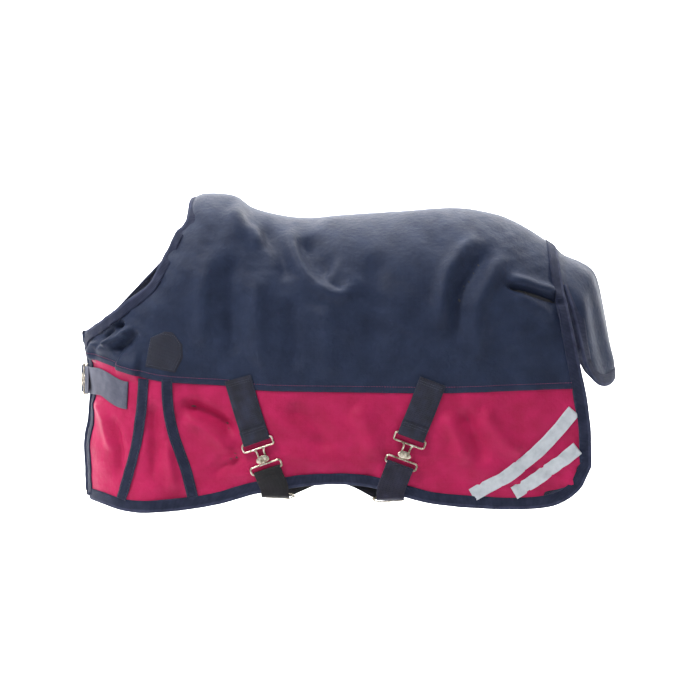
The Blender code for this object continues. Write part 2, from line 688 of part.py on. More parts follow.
def bindings(near, far):
    """Folded tape round every edge of the rug."""
    stack = SHELL_T + LINING_GAP + LINING_T
    last, low = LAST_COLUMN, LAST_ROW
    corner = ((last, low), (last - 1, low - 1))
    track = [beside(near, (c, low), (c, low - 1)) for c in range(last)]
    track.append(beside(near, *corner))
    track += [beside(near, (last, r), (last - 1, r)) for r in range(low - 1, -1, -1)]
    track += [beside(far, (last, r), (last - 1, r)) for r in range(1, low)]
    track.append(beside(far, *corner))
    track += [beside(far, (c, low), (c, low - 1)) for c in range(last - 1, CHEST_COLUMNS - 1, -1)]
    track[-1] = shifted(track[-1], SEAM_GAP)
    binding("edge_binding", edge_stations(track, 1, BINDING_W), stack)
    track = [beside(far, (c, low), (c, low - 1)) for c in range(CHEST_COLUMNS + 1)]
    track[-1] = shifted(track[-1], -SEAM_GAP)
    binding("right_chest_hem_binding", edge_stations(track, -1, BINDING_W), stack)

    neck, turn = NECK_ROW, GUSSET_COLUMN
    track = [beside(near, (c, neck), (c, neck + 1)) for c in range(turn)]
    track.append(beside(near, (turn, neck), (turn + 1, neck + 1)))
    track += [beside(near, (turn, r), (turn + 1, r)) for r in range(neck - 1, -1, -1)]
    track += [beside(far, (turn, r), (turn + 1, r)) for r in range(1, neck)]
    track.append(beside(far, (turn, neck), (turn + 1, neck + 1)))
    track += [beside(far, (c, neck), (c, neck + 1))
              for c in range(turn - 1, CHEST_COLUMNS - 1, -1)]
    track[-1] = shifted(track[-1], SEAM_GAP)
    binding("neck_binding", edge_stations(track, -1, BINDING_W), stack, NECK_ROOM)
    track = [beside(far, (c, neck), (c, neck + 1)) for c in range(CHEST_COLUMNS + 1)]
    track[-1] = shifted(track[-1], -SEAM_GAP)
    binding("right_chest_neck_binding", edge_stations(track, 1, BINDING_W), stack)

    for name, crossings, side, inward in (("left_chest_binding", near, -1, 1),
                                          ("right_chest_binding", far, 1, -1)):
        first, end = crossings[0, neck][1], crossings[0, low][1]
        begin = first + side * BINDING_W * CHEST_TOP_ROOM
        finish = end - side * (BINDING_W + BINDING_T + BINDING_GAP)
        step = crossings[1, SEAM_ROW][0] - crossings[0, SEAM_ROW][0]
        between = [crossings[0, r][1] for r in range(neck + 1, low)]
        between = [q for q in between if abs(begin) + 0.004 < abs(q) < abs(finish) - 0.004]
        track = [(FRONT_T, q, (FRONT_T + step, q)) for q in [begin, *between, finish]]
        binding(name, edge_stations(track, inward, BINDING_W), stack)


def flap_stations(far):
    """Places of the flap's top edge, from the near side over the spine to the far side."""
    column, rows = LAST_COLUMN, FLAP_SEWN_ROWS
    reach = BINDING_GAP + BINDING_T + FLAP_GAP
    tops = []
    for k in range(-rows, rows + 1):
        t, q = far[column, abs(k)]
        inner_t, inner_q = far[column - 1, abs(k)]
        sign = 1 if k >= 0 else -1
        next_t, next_q = far[column, abs(k) + 1]
        edge = base_point(t, q * sign)
        ahead = base_point(next_t, next_q * sign)
        lip = edge - base_point(inner_t, inner_q * sign)
        along = (ahead - edge).normalized()
        lip = (lip - along * lip.dot(along)).normalized()
        tops.append(edge + lip * reach)
    return tops


def flap_grid(tops):
    """Points of the tail flap: rows run across it, from its sewn edge to its lower edge."""
    half = len(tops) // 2
    middle_points = [Vector((x, 0, z)) for x, z in FLAP_MIDDLE]
    lowest = tops[-1]
    span = tops[half].z - lowest.z
    grid = []
    for row in range(FLAP_ROWS + 1):
        v = row / FLAP_ROWS
        middle = spline_at(middle_points, v * (len(FLAP_MIDDLE) - 1))
        middle += (tops[half] - middle_points[0]) * (1 - v) ** 2
        edge = lowest.lerp(FLAP_CORNER, v)
        line = []
        for top in tops:
            share = (top.z - lowest.z) / span
            place = Vector((mix(edge.x, middle.x, share), edge.y * top.y / lowest.y,
                            mix(edge.z, middle.z, share)))
            place.z -= FLAP_DROOP * 4 * share * (1 - share) * v ** 3
            place.x += FLAP_SIDE_ROOM * (1 - share) * (1 - (1 - v) ** 6)
            start = Vector((mix(lowest.x, tops[half].x, share), top.y, top.z))
            place += (top - start) * (1 - v) ** 2
            line.append(place)
        grid.append(line)
    return grid


def grid_normal(grid, row, column):
    rows, columns = len(grid) - 1, len(grid[0]) - 1
    down = grid[min(row + 1, rows)][column] - grid[max(row - 1, 0)][column]
    across = grid[row][min(column + 1, columns)] - grid[row][max(column - 1, 0)]
    return down.cross(across).normalized()


def tail_flap(far):
    """Flap over the tail, and the tape folded over its free edges."""
    grid = flap_grid(flap_stations(far))
    cloth("tail_flap", [grid], "navy", SHELL_T, -1)
    low, wide = len(grid) - 1, len(grid[0]) - 1
    track = [((r, 0), (r, 1)) for r in range(1, low)]
    track.append(((low, 0), (low - 1, 1)))
    track += [((low, c), (low - 1, c)) for c in range(1, wide)]
    track.append(((low, wide), (low - 1, wide - 1)))
    track += [((r, wide), (r, wide - 1)) for r in range(low - 1, 0, -1)]
    stations = []
    for k, (place, inner) in enumerate(track):
        edge = grid[place[0]][place[1]]
        before = track[max(k - 1, 0)][0]
        after = track[min(k + 1, len(track) - 1)][0]
        tangent = (grid[after[0]][after[1]] - grid[before[0]][before[1]]).normalized()
        inner_at, _ = inner_place(edge, grid[inner[0]][inner[1]], tangent, BINDING_W)
        stations.append((edge, grid_normal(grid, *place), inner_at,
                         grid_normal(grid, *inner)))
    binding("tail_flap_binding", stations, SHELL_T, CURVED_ROOM)


def trims():
    """Tapes, shoulder patches and reflective stripes sewn on the panels of both sides."""
    top = BINDING_W + BINDING_T + BINDING_GAP
    lines = {"front": GUSSET_FRONT, "rear": GUSSET_REAR}
    for side, word in ((-1, "left"), (1, "right")):
        for place, line in lines.items():
            foot = curve_at(HEM, curve_at(line, -0.51)) + top
            heights = [mix(SHOULDER_PATCH[0][0][1] - TAPE_START, foot, k / 7) for k in range(8)]
            strip(f"{word}_{place}_gusset_tape", [(curve_at(line, z), z) for z in heights],
                  side, "binding", TAPE_W, TAPE_T, LAY_GAP, 8)
        grid = []
        for ahead, behind in SHOULDER_PATCH:
            row = [at_side(mix(ahead[0], behind[0], k / 4), mix(ahead[1], behind[1], k / 4),
                           side, LAY_GAP) for k in range(5)]
            grid.append(row[::-1] if side < 0 else row)
        cloth(f"{word}_shoulder_patch", [grid], "webbing", PATCH_T, 1, PATCH_T)
        strip(f"{word}_upper_stripe", STRIPE_UPPER, side, "silver_tape", STRIPE_W, STRIPE_T,
              LAY_GAP, 8)
        strip(f"{word}_lower_stripe", STRIPE_LOWER, side, "silver_tape", STRIPE_W, STRIPE_T,
              LAY_GAP, 6)


# ---- straps and their fasteners -----------------------------------------------------
BAR_TURN = WIRE_R + PIVOT_GAP + WEB_T / 2      # from a bar's middle to the webbing's middle
LEAF_LIFT = WEB_T + LEAF_GAP - BAR_TURN        # leaf's middle, from the bar's plane


def fastener_frame(start, end, out):
    """Axes of a fastener from the plate's bar towards the hook's bar."""
    down = (end - start).normalized()
    out = (out - down * out.dot(down)).normalized()
    return down.cross(out), down, out


def surcingle(word, line, hook_bar, reach):
    """Near-side strap, its fastener, and the long strap that crosses under the belly to
    the far side, where it is sewn on."""
    side = -1
    rest = LAY_GAP + WEB_T / 2
    bar_out = rest + BAR_TURN
    t, z = line[-1]
    out = normal_at(t, q_of(t, z, side))
    start = at_side(*line[-1], side)
    across, down, out = fastener_frame(start, at_side(*hook_bar, side), out)
    plate_bar = start + out * bar_out
    hook_place = plate_bar + down * FITTING_SPAN

    places = [(at_side(x, z, side, rest), -normal_at(x, q_of(x, z, side)))
              for x, z in spline(line, 6)[:-1]]
    places = settled(places, WEB_W, WEB_T, -1)
    places += fold_round(plate_bar, down, out, LEAF_LIFT, 1, FOLD_BACK)
    ribbon(f"{word}_upper_strap", places, "webbing", WEB_W, WEB_T)

    plate(f"{word}_plate", frame_matrix(plate_bar, across, down, out))
    hook(f"{word}_hook", frame_matrix(plate_bar, across, down, out))

    places = fold_round(hook_place, -down, out, BAR_TURN, -1, HIDDEN_LEAF)[::-1]
    over_leaf = LEAF_GAP + WEB_T - BAR_TURN
    places.append((hook_place + down * (HIDDEN_LEAF * 0.6)
                   + out * mix(over_leaf, BAR_TURN, 0.4), out))
    places.append((hook_place + down * (HIDDEN_LEAF + 0.001) + out * over_leaf, out))
    places += belly_places(reach)
    ribbon(f"{word}_belly_strap", places, "webbing", WEB_W, WEB_T)

    begin, end = straight_run(reach)
    heading = (end - begin).normalized()
    below = Vector((0, 0, -1))
    below = (below - heading * below.dot(heading)).normalized()
    slide(f"{word}_slide", frame_matrix(begin + heading * SLIDE_PLACE,
                                        heading.cross(-below), heading, -below))


def hem_turn(x, drop, side):
    """Webbing passing round the hem: outside it, under it, then level below the belly."""
    hem_z = curve_at(HEM, x)
    face = normal_at(x, q_of(x, hem_z, side))
    face.z = 0
    face.normalize()
    edge = at_side(x, hem_z, side) + face * HEM_ROOM
    turn = [*HEM_TURN, ((HEM_TURN_DEEP, -drop), (0.0, -1.0))]
    places = []
    for (inward, lift), (out, up) in turn:
        places.append((edge - face * inward + Vector((0, 0, lift)),
                       (face * out + Vector((0, 0, up))).normalized()))
    return places


def straight_run(reach):
    """Start and end of the strap's straight stretch under the near half of the belly."""
    near_x, drop, level = reach[0], reach[1], reach[-1]
    begin = hem_turn(near_x, drop, -1)[-1][0]
    return begin, begin.lerp(Vector((0, 0, level)), 1 - STRAIGHT_END_Y / abs(begin.y))


def belly_places(reach):
    """Round the near hem, across under the belly, round the far hem and up to its seam."""
    near_x, drop, far_x, far_line, level = reach
    _, end = straight_run(reach)
    down = Vector((0, 0, -1))
    places = hem_turn(near_x, drop, -1)
    places.append((end, down))
    far_turn = hem_turn(far_x, drop, 1)[::-1]
    places.append((Vector((0, 0, level)).lerp(far_turn[0][0], 0.30), down))
    places += far_turn
    lift = LAY_GAP + WEB_T / 2
    sewn = [(at_side(x, z, 1, lift), normal_at(x, q_of(x, z, 1)))
            for x, z in spline([(far_x, curve_at(HEM, far_x) + 0.012), *far_line], 7)]
    return places + settled(sewn, WEB_W, WEB_T, 1)


def chest_bar(side, beyond):
    """Middle of the chest fastener's bar, past a front edge, and the cloth's normal there."""
    z = CHEST_TAB[-1][1]
    q = q_of(FRONT_T, z, side)
    along, _ = slopes(FRONT_T, q)
    normal = normal_at(FRONT_T, q)
    along.z = 0
    normal.z = 0
    normal.normalize()
    over = 2 * BINDING_GAP + BINDING_T + WEB_T / 2 + BAR_TURN + CHEST_BAR_ROOM
    return base_point(FRONT_T, q) - along.normalized() * beyond + normal * over, normal


def chest_fastening():
    """Webbing tab, plate and hook that close the chest."""
    low, high = 0.0, 0.030
    for _ in range(30):
        beyond = (low + high) / 2
        span = (chest_bar(-1, beyond)[0] - chest_bar(1, beyond)[0]).length
        if span > FITTING_SPAN:
            low = beyond
        else:
            high = beyond
    plate_bar, _ = chest_bar(-1, beyond)
    hook_place, _ = chest_bar(1, beyond)
    across, down, out = fastener_frame(plate_bar, hook_place, Vector((-1, 0, 0)))
    matrix = frame_matrix(plate_bar, across, down, out)
    plate("chest_plate", matrix)
    hook("chest_hook", matrix)
    for side, name, bar, away in ((-1, "left_chest_tab", plate_bar, down),
                                  (1, "right_chest_tab", hook_place, -down)):
        places = []
        rear_t = t_of(*CHEST_TAB[0], side)
        for k in range(7):
            t = mix(rear_t, FRONT_T, k / 7)
            z = mix(CHEST_TAB[0][1], CHEST_TAB[-1][1], smooth(0, 0.7, k / 7))
            q = q_of(t, z, side)
            places.append((surface(t, q, LAY_GAP + WEB_T / 2), -normal_at(t, q)))
        normal = -normal_at(FRONT_T, q_of(FRONT_T, CHEST_TAB[-1][1], side))
        places.append((surface(FRONT_T, q_of(FRONT_T, CHEST_TAB[-1][1], side),
                               2 * BINDING_GAP + BINDING_T + WEB_T / 2), normal))
        places = settled(places, WEB_W, WEB_T, -1)
        places += fold_round(bar, away, out, LEAF_LIFT, 1, FOLD_BACK * 0.8)
        ribbon(name, places, "patch", WEB_W, WEB_T)


def build():
    near = lattice(-1)
    far = lattice(1)
    outer_cloth(near, far)
    linings(near, far)
    bindings(near, far)
    tail_flap(far)
    trims()
    surcingle("front", FRONT_STRAP, FRONT_HOOK_BAR,
              (FRONT_NEAR_X, FRONT_DROP, FRONT_FAR_X, REAR_STRAP[::-1], BELLY_Z))
    surcingle("rear", REAR_STRAP, REAR_HOOK_BAR,
              (REAR_NEAR_X, REAR_DROP, REAR_FAR_X, FRONT_STRAP[::-1], BELLY_Z - CROSS_STEP))
    chest_fastening()


for leftover in list(bpy.data.objects):
    bpy.data.objects.remove(leftover, do_unlink=True)
BED = []
PARTS = bpy.data.collections.new(NAME)
CUTTERS = bpy.data.collections.new("cutters")
bpy.context.scene.collection.children.link(PARTS)
bpy.context.scene.collection.children.link(CUTTERS)
build()
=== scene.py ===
"""Looks of a small pony's turnout rug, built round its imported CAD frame.

Metres, +Z up. The pony faces -X and its near (left) side is -Y. Cloth is laid out in
(t, q): t runs along the rug and q down its girth from the spine, the far side positive.
"""
import math

import bmesh
import bpy
import numpy as np
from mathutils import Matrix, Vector

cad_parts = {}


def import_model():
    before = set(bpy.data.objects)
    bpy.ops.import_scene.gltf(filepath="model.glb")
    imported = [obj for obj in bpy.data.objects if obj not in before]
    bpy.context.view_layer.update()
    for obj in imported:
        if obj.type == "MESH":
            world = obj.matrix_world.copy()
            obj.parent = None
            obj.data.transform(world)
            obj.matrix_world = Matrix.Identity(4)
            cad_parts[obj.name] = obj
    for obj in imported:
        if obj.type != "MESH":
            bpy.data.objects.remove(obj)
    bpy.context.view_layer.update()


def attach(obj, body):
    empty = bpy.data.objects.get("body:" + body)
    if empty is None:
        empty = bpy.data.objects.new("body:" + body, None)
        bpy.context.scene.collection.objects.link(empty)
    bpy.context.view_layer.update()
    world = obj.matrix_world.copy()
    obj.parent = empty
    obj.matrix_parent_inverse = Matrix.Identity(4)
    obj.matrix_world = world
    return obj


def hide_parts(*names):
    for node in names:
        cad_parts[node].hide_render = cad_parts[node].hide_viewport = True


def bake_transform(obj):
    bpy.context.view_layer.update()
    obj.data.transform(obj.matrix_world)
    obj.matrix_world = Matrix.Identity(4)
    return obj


# ---- shape of the fitted rug, as in the CAD ---------------------------------------------
BARREL_HALF = 0.188
SHOULDER_HALF = 0.163
HIP_HALF = 0.184
REAR_HALF = 0.135
DOME = 0.185               # drop from the spine to where the side hangs straight
TUCK = 0.10                # share of the width lost over TUCK_DROP
TUCK_DROP = 0.30
CHEST_START = -0.300
CHEST_ARC = 0.165
CHEST_END = math.radians(76)
FAR_CHEST_AHEAD = 0.009
NECK_BACK = -0.277
FRONT_T = CHEST_START - CHEST_ARC * CHEST_END
STACK = 0.0033             # outer cloth, gap and lining together

SPINE = [(-0.270, 0.031), (-0.252, 0.040), (-0.212, 0.040), (-0.187, 0.034),
         (-0.162, 0.016), (-0.113, 0.002), (-0.060, -0.004), (0.000, 0.001),
         (0.108, 0.008), (0.216, 0.014), (0.288, 0.002), (0.324, -0.013),
         (0.360, -0.034), (0.396, -0.059)]
CROWN_FRONT = [(-0.530, -0.098), (-0.466, -0.085), (-0.427, -0.070), (-0.380, -0.055),
               (-0.344, -0.040), (-0.320, -0.015), (-0.297, 0.010), (-0.280, 0.025)]
NECKLINE = [(-0.466, -0.216), (-0.427, -0.187), (-0.380, -0.152), (-0.344, -0.121),
            (-0.320, -0.081), (-0.297, -0.034), (-0.277, -0.007), (-0.270, 0.031)]
HEM = [(-0.466, -0.513), (-0.432, -0.520), (-0.387, -0.531), (-0.340, -0.532),
       (-0.270, -0.526), (-0.211, -0.514), (-0.153, -0.497), (-0.072, -0.485),
       (0.000, -0.481), (0.054, -0.486), (0.099, -0.497), (0.162, -0.514),
       (0.252, -0.523), (0.306, -0.526), (0.360, -0.524), (0.389, -0.519),
       (0.415, -0.507), (0.436, -0.486), (0.452, -0.452)]
SEAM = [(-0.470, -0.252), (-0.430, -0.265), (-0.351, -0.291), (-0.302, -0.299),
        (-0.207, -0.304), (-0.144, -0.312), (0.018, -0.315), (0.180, -0.317),
        (0.324, -0.313), (0.460, -0.310)]
SHOULDER_PATCH = [((-0.351, -0.270), (-0.297, -0.281)), ((-0.346, -0.243), (-0.283, -0.254)),
                  ((-0.341, -0.218), (-0.284, -0.230)), ((-0.316, -0.2065), (-0.302, -0.2075))]
STRIPE_UPPER = [(0.238, -0.502), (0.308, -0.463), (0.358, -0.422), (0.388, -0.392),
                (0.423, -0.351)]
STRIPE_LOWER = [(0.314, -0.499), (0.356, -0.473), (0.378, -0.457), (0.402, -0.440),
                (0.430, -0.419)]
FLAP_MIDDLE = [(0.3990, -0.0600), (0.414, -0.074), (0.441, -0.087), (0.463, -0.102),
               (0.474, -0.125), (0.482, -0.167), (0.491, -0.225), (0.498, -0.262),
               (0.503, -0.296)]
FLAP_CORNER = np.array((0.441, 0.136, -0.274))
FLAP_DROOP = 0.020
FLAP_SIDE_ROOM = 0.005
FLAP_REACH = 0.0033        # from the rear edge to the flap's top edge
FRONT_STRAP = [(-0.184, -0.290), (-0.168, -0.345), (-0.150, -0.402)]
REAR_STRAP = [(0.167, -0.295), (0.148, -0.345), (0.128, -0.394)]
FRONT_HOOK_BAR = (-0.130, -0.457)
REAR_HOOK_BAR = (0.107, -0.450)
CHEST_TAB = [(-0.383, -0.323), (-0.412, -0.311), (-0.441, -0.3000)]
CHEST_LINE = [(-0.530, -0.455), (-0.488, -0.459), (-0.421, -0.461), (-0.370, -0.455),
              (-0.324, -0.450), (-0.277, -0.455), (-0.240, -0.462), (-0.200, -0.464)]
REAR_LINE = [(-0.530, 0.452), (-0.446, 0.452), (-0.383, 0.450), (-0.329, 0.443),
             (-0.275, 0.432), (-0.203, 0.418), (-0.131, 0.403), (-0.059, 0.392),
             (0.000, 0.386)]
GUSSET_FRONT = [(-0.524, -0.399), (-0.479, -0.386), (-0.410, -0.368), (-0.351, -0.359),
                (-0.292, -0.354)]
GUSSET_REAR = [(-0.524, -0.262), (-0.455, -0.279), (-0.410, -0.295), (-0.378, -0.304),
               (-0.351, -0.309), (-0.292, -0.312), (-0.180, -0.298), (-0.007, -0.277),
               (0.031, -0.270)]

# columns and rows of the cloth's layout, as in the CAD
CHEST_COLUMNS = 7
GUSSET_COLUMN = 11
LAST_COLUMN = 27
NECK_ROW = 5
SEAM_ROW = 12
LAST_ROW = 18
FLAP_SEWN_ROWS = 5

# ---- webbing and fittings, as in the CAD -------------------------------------------------
WEB_W = 0.050
WEB_T = 0.0018
TAPE_W = 0.020
STRIPE_W = 0.025
BINDING_W = 0.019
WIRE_R = 0.0018
PIVOT_GAP = 0.0005
LOOP_W = WEB_W + 0.008
PLATE_LOOP = 0.015
PLATE_SLOT_END = 0.040
PLATE_SLOT_W = 0.013
HOOK_LOOP = 0.013
FITTING_SPAN = 0.058
HEAD_RISE = 0.0048
HEAD_L, HEAD_W, HEAD_T = 0.025, 0.013, 0.0030
PEG_AT = 0.034
PEG_TIP = -0.0012
FOLD_BACK = 0.023
HIDDEN_LEAF = 0.011
LEAF_GAP = 0.0003
SLIDE_L = 0.020
SLIDE_BAR_R = 0.0015
SLIDE_PLACE = 0.008
LAY_GAP = 0.0007
BAR_TURN = WIRE_R + PIVOT_GAP + WEB_T / 2
LEAF_LIFT = WEB_T + LEAF_GAP - BAR_TURN
HEM_ROOM = 0.0055
BELLY_Z = -0.470
CROSS_STEP = 0.008
STRAIGHT_END_Y = 0.045
HEM_TURN = [((0.0, 0.0015), (1.0, 0.0)), ((0.0004, -0.0105), (0.8, -0.6)),
            ((0.0080, -0.0150), (0.2, -1.0))]
HEM_TURN_DEEP = 0.036
FRONT_DROP, REAR_DROP = 0.0150, 0.0165
FRONT_NEAR_X, FRONT_FAR_X = -0.117, 0.094
REAR_NEAR_X, REAR_FAR_X = 0.091, -0.118
CHEST_BAR_ROOM = 0.0016
CHEST_BAR_OVER = 0.0018 + 0.0012 + WEB_T / 2 + BAR_TURN + CHEST_BAR_ROOM

# ---- thickness and fineness of the sewn pieces ------------------------------------------
BINDING_T = 0.0011
BINDING_ROOM = 0.0012      # between the binding and the cloth it is folded over
BINDING_SEW_IN = 0.0025    # from the binding's inner edge to its stitches
BINDING_SEW_RISE = 0.0019
EDGE_DENSITY = 6           # stations of a binding per column or row
CORNER_ROOM = 0.34         # columns or rows left out on either side of a corner
TAPE_T = 0.0012
STRIPE_T = 0.0009
FLAP_STACK = 0.0014        # the tail flap's cloth and lining together
FLAP_LINING_IN = 0.0013
FLAP_COLUMNS, FLAP_ROWS = 61, 67
PATCH_ROWS, PATCH_COLUMNS = 22, 15
LOOP_CORNER = 0.0045       # bend of the wire loops' corners
CHEST_FOLD_BACK = FOLD_BACK * 0.8
# length, gap and half thickness of a stitch
BINDING_STITCH = (0.0030, 0.0014, 0.00042)
SEAM_ROW_STITCH = (0.0034, 0.0014, 0.00050)
ZIGZAG_STITCH = (0.0026, 0.0004, 0.00040)
PATCH_STITCH = (0.0028, 0.0014, 0.00042)
STRAP_STITCH = (0.0026, 0.0014, 0.00042)

# ---- soft relief of the near side: folds in side view ------------------------------------
# (points, width, height); a fold fades towards its ends
FOLDS = [
    # behind the withers: a slack bowl and its lit rim
    ([(-0.092, -0.012), (-0.080, -0.070), (-0.048, -0.118), (0.000, -0.140),
      (0.034, -0.112)], 0.013, 0.0060),
    ([(-0.060, -0.030), (-0.046, -0.074), (-0.010, -0.100)], 0.024, -0.0070),
    ([(-0.205, 0.020), (-0.175, -0.022), (-0.132, -0.050)], 0.015, 0.0045),
    ([(-0.150, -0.010), (-0.112, -0.060), (-0.094, -0.120)], 0.014, -0.0050),
    # drapes that hang from the withers
    ([(-0.232, -0.050), (-0.246, -0.140), (-0.252, -0.250)], 0.018, 0.0040),
    ([(-0.188, -0.060), (-0.196, -0.150), (-0.192, -0.260)], 0.015, -0.0040),
    ([(-0.150, -0.090), (-0.150, -0.180), (-0.142, -0.280)], 0.018, 0.0040),
    ([(-0.090, -0.140), (-0.084, -0.210), (-0.080, -0.290)], 0.017, -0.0035),
    ([(-0.030, -0.150), (-0.024, -0.220), (-0.026, -0.300)], 0.020, 0.0030),
    ([(0.060, -0.060), (0.066, -0.150), (0.054, -0.270)], 0.024, -0.0030),
    # over the croup
    ([(0.252, -0.028), (0.212, -0.074), (0.188, -0.120), (0.180, -0.225)], 0.014, 0.0055),
    ([(0.278, -0.050), (0.240, -0.100), (0.214, -0.150), (0.208, -0.240)], 0.013, -0.0050),
    ([(0.300, -0.060), (0.272, -0.110), (0.250, -0.170), (0.246, -0.270)], 0.016, 0.0040),
    ([(0.296, -0.120), (0.340, -0.136), (0.404, -0.156)], 0.0045, -0.0075),
    ([(0.300, -0.108), (0.345, -0.123), (0.400, -0.140)], 0.009, 0.0045),
    ([(0.310, -0.140), (0.350, -0.160), (0.390, -0.190)], 0.012, 0.0035),
    # chest, near the neckline
    ([(-0.402, -0.197), (-0.413, -0.216), (-0.423, -0.236)], 0.0060, 0.0050),
    ([(-0.374, -0.198), (-0.396, -0.216), (-0.418, -0.232), (-0.444, -0.250)], 0.0065, 0.0055),
    ([(-0.438, -0.226), (-0.451, -0.243), (-0.447, -0.266)], 0.0055, 0.0045),
    ([(-0.390, -0.188), (-0.408, -0.204), (-0.430, -0.226)], 0.0055, -0.0065),
    ([(-0.360, -0.205), (-0.385, -0.226), (-0.412, -0.244)], 0.0090, -0.0050),
    ([(-0.404, -0.262), (-0.382, -0.268), (-0.358, -0.270)], 0.0200, 0.0060),
    # pink panels
    ([(-0.290, -0.334), (-0.245, -0.351), (-0.208, -0.372), (-0.178, -0.396)], 0.011, -0.0075),
    ([(-0.292, -0.358), (-0.250, -0.376), (-0.214, -0.404), (-0.196, -0.440)], 0.012, 0.0050),
    ([(-0.236, -0.470), (-0.200, -0.440), (-0.176, -0.428)], 0.012, -0.0040),
    ([(0.184, -0.350), (0.212, -0.396), (0.226, -0.452)], 0.012, 0.0050),
    ([(0.216, -0.340), (0.244, -0.392), (0.262, -0.450)], 0.012, -0.0055),
    ([(0.256, -0.342), (0.284, -0.390), (0.330, -0.436)], 0.013, 0.0045),
    ([(-0.100, -0.340), (-0.050, -0.372), (-0.020, -0.430)], 0.018, -0.0040),
    ([(0.020, -0.340), (0.050, -0.380), (0.060, -0.440)], 0.018, 0.0040),
    ([(-0.445, -0.330), (-0.425, -0.372), (-0.412, -0.430)], 0.010, 0.0040),
    ([(-0.420, -0.360), (-0.402, -0.410), (-0.400, -0.480)], 0.009, -0.0045),
    ([(-0.340, -0.320), (-0.334, -0.400), (-0.336, -0.490)], 0.013, -0.0045),
    ([(-0.316, -0.400), (-0.306, -0.450), (-0.300, -0.500)], 0.010, 0.0035),
]
FOLD_GAIN = 2.3            # how strongly the folds above stand out
BELLY_ROLL = 0.010         # how far the cloth turns in under the belly, at the hem
SEAM_STITCH = 0.011        # the seam's stitch line, above its edge
SEAM_RISE = 0.0012
DENSITY = 8                # mesh crossings per CAD column or row


# ---- number helpers ---------------------------------------------------------------------
def curve(points, value):
    """Smooth value along (position, value) pairs, for an array of positions."""
    xs, ys = np.array(points, float).T
    value = np.clip(np.asarray(value, float), xs[0], xs[-1])
    k = np.clip(np.searchsorted(xs, value) - 1, 0, len(xs) - 2)
    lo = np.maximum(np.arange(len(xs)) - 1, 0)
    hi = np.minimum(np.arange(len(xs)) + 1, len(xs) - 1)
    slope = (ys[hi] - ys[lo]) / (xs[hi] - xs[lo])
    span = xs[k + 1] - xs[k]
    s = (value - xs[k]) / span
    return ((2 * s ** 3 - 3 * s ** 2 + 1) * ys[k] + (s ** 3 - 2 * s ** 2 + s) * span * slope[k]
            + (3 * s ** 2 - 2 * s ** 3) * ys[k + 1] + (s ** 3 - s ** 2) * span * slope[k + 1])


def spline(points, count):
    """Points spread along a smooth curve through the given ones."""
    points = np.array(points, float)
    place = np.linspace(0, len(points) - 1, count)
    return np.stack([curve(list(enumerate(points[:, axis])), place)
                     for axis in range(points.shape[1])], -1)


def mix(a, b, f):
    return a + (b - a) * f


def smooth(lo, hi, value):
    s = np.clip((np.asarray(value, float) - lo) / (hi - lo), 0, 1)
    return s * s * (3 - 2 * s)


def unit(v):
    v = np.asarray(v, float)
    return v / np.maximum(np.linalg.norm(v, axis=-1, keepdims=True), 1e-12)


def arc(points):
    """Distance travelled along the first axis of a grid of points."""
    step = np.linalg.norm(np.diff(points, axis=0), axis=-1)
    return np.concatenate([np.zeros_like(step[:1]), np.cumsum(step, axis=0)])


# ---- the rug's surface ------------------------------------------------------------------
def crown(t):
    return np.where(t < SPINE[0][0], curve(CROWN_FRONT + [SPINE[0]], t), curve(SPINE, t))


def half_width(t):
    width = mix(SHOULDER_HALF, BARREL_HALF, smooth(-0.32, -0.05, t))
    width = mix(width, HIP_HALF, smooth(0.05, 0.20, t))
    return mix(width, REAR_HALF, smooth(0.22, 0.47, t))


def chest_depth(z, side):
    reach = -curve(CHEST_LINE, z) + np.where(np.asarray(side) > 0, FAR_CHEST_AHEAD, 0.0)
    return (CHEST_START + reach) / math.sin(CHEST_END)


def base_point(t, q):
    """Point of the outer surface without its folds."""
    t, q = np.broadcast_arrays(np.asarray(t, float), np.asarray(q, float))
    angle = np.minimum(np.abs(q) / DOME, math.pi / 2)
    below = np.maximum(np.abs(q) - DOME * math.pi / 2, 0.0)
    z = crown(t) - DOME * (1 - np.cos(angle)) - below
    width = half_width(t) * np.sin(angle) * (1 - TUCK * (below / TUCK_DROP) ** 2)
    turn = np.maximum(CHEST_START - t, 0) / CHEST_ARC
    x = np.where(t < CHEST_START, CHEST_START - chest_depth(z, q) * np.sin(turn), t)
    return np.stack([x, np.where(q < 0, -1, 1) * width * np.cos(turn), z], -1)


def base_normal(t, q):
    step = 0.002
    along = base_point(t + step, q) - base_point(t - step, q)
    around = base_point(t, q + step) - base_point(t, q - step)
    return unit(np.cross(along, around))


def q_of(t, z, side):
    drop = crown(t) - z
    bent = DOME * np.arccos(np.clip(1 - drop / DOME, -1, 1))
    return side * np.where(drop < DOME, bent, DOME * math.pi / 2 + drop - DOME)


def t_of(x, z, side):
    share = np.clip((CHEST_START - x) / chest_depth(z, side), -1, math.sin(CHEST_END))
    return np.where(x >= CHEST_START, x, CHEST_START - CHEST_ARC * np.arcsin(share))


def x_of(t, z, side):
    turn = np.maximum(CHEST_START - t, 0) / CHEST_ARC
    return np.where(t >= CHEST_START, t, CHEST_START - chest_depth(z, side) * np.sin(turn))


def height_on(line, t, side):
    z = np.full_like(t, line[len(line) // 2][1])
    for _ in range(10):
        z = curve(line, x_of(t, z, side))
    return z


def column_t(column, z, side):
    front = t_of(curve(GUSSET_FRONT, z), z, side)
    back = t_of(curve(GUSSET_REAR, z), z, side)
    share = (column - GUSSET_COLUMN) / (LAST_COLUMN - GUSSET_COLUMN)
    t = mix(back, curve(REAR_LINE, z), share)
    gusset = mix(front, back, (column - CHEST_COLUMNS) / (GUSSET_COLUMN - CHEST_COLUMNS))
    t = np.where(column <= GUSSET_COLUMN, gusset, t)
    return np.where(column <= CHEST_COLUMNS, mix(FRONT_T, front, column / CHEST_COLUMNS), t)


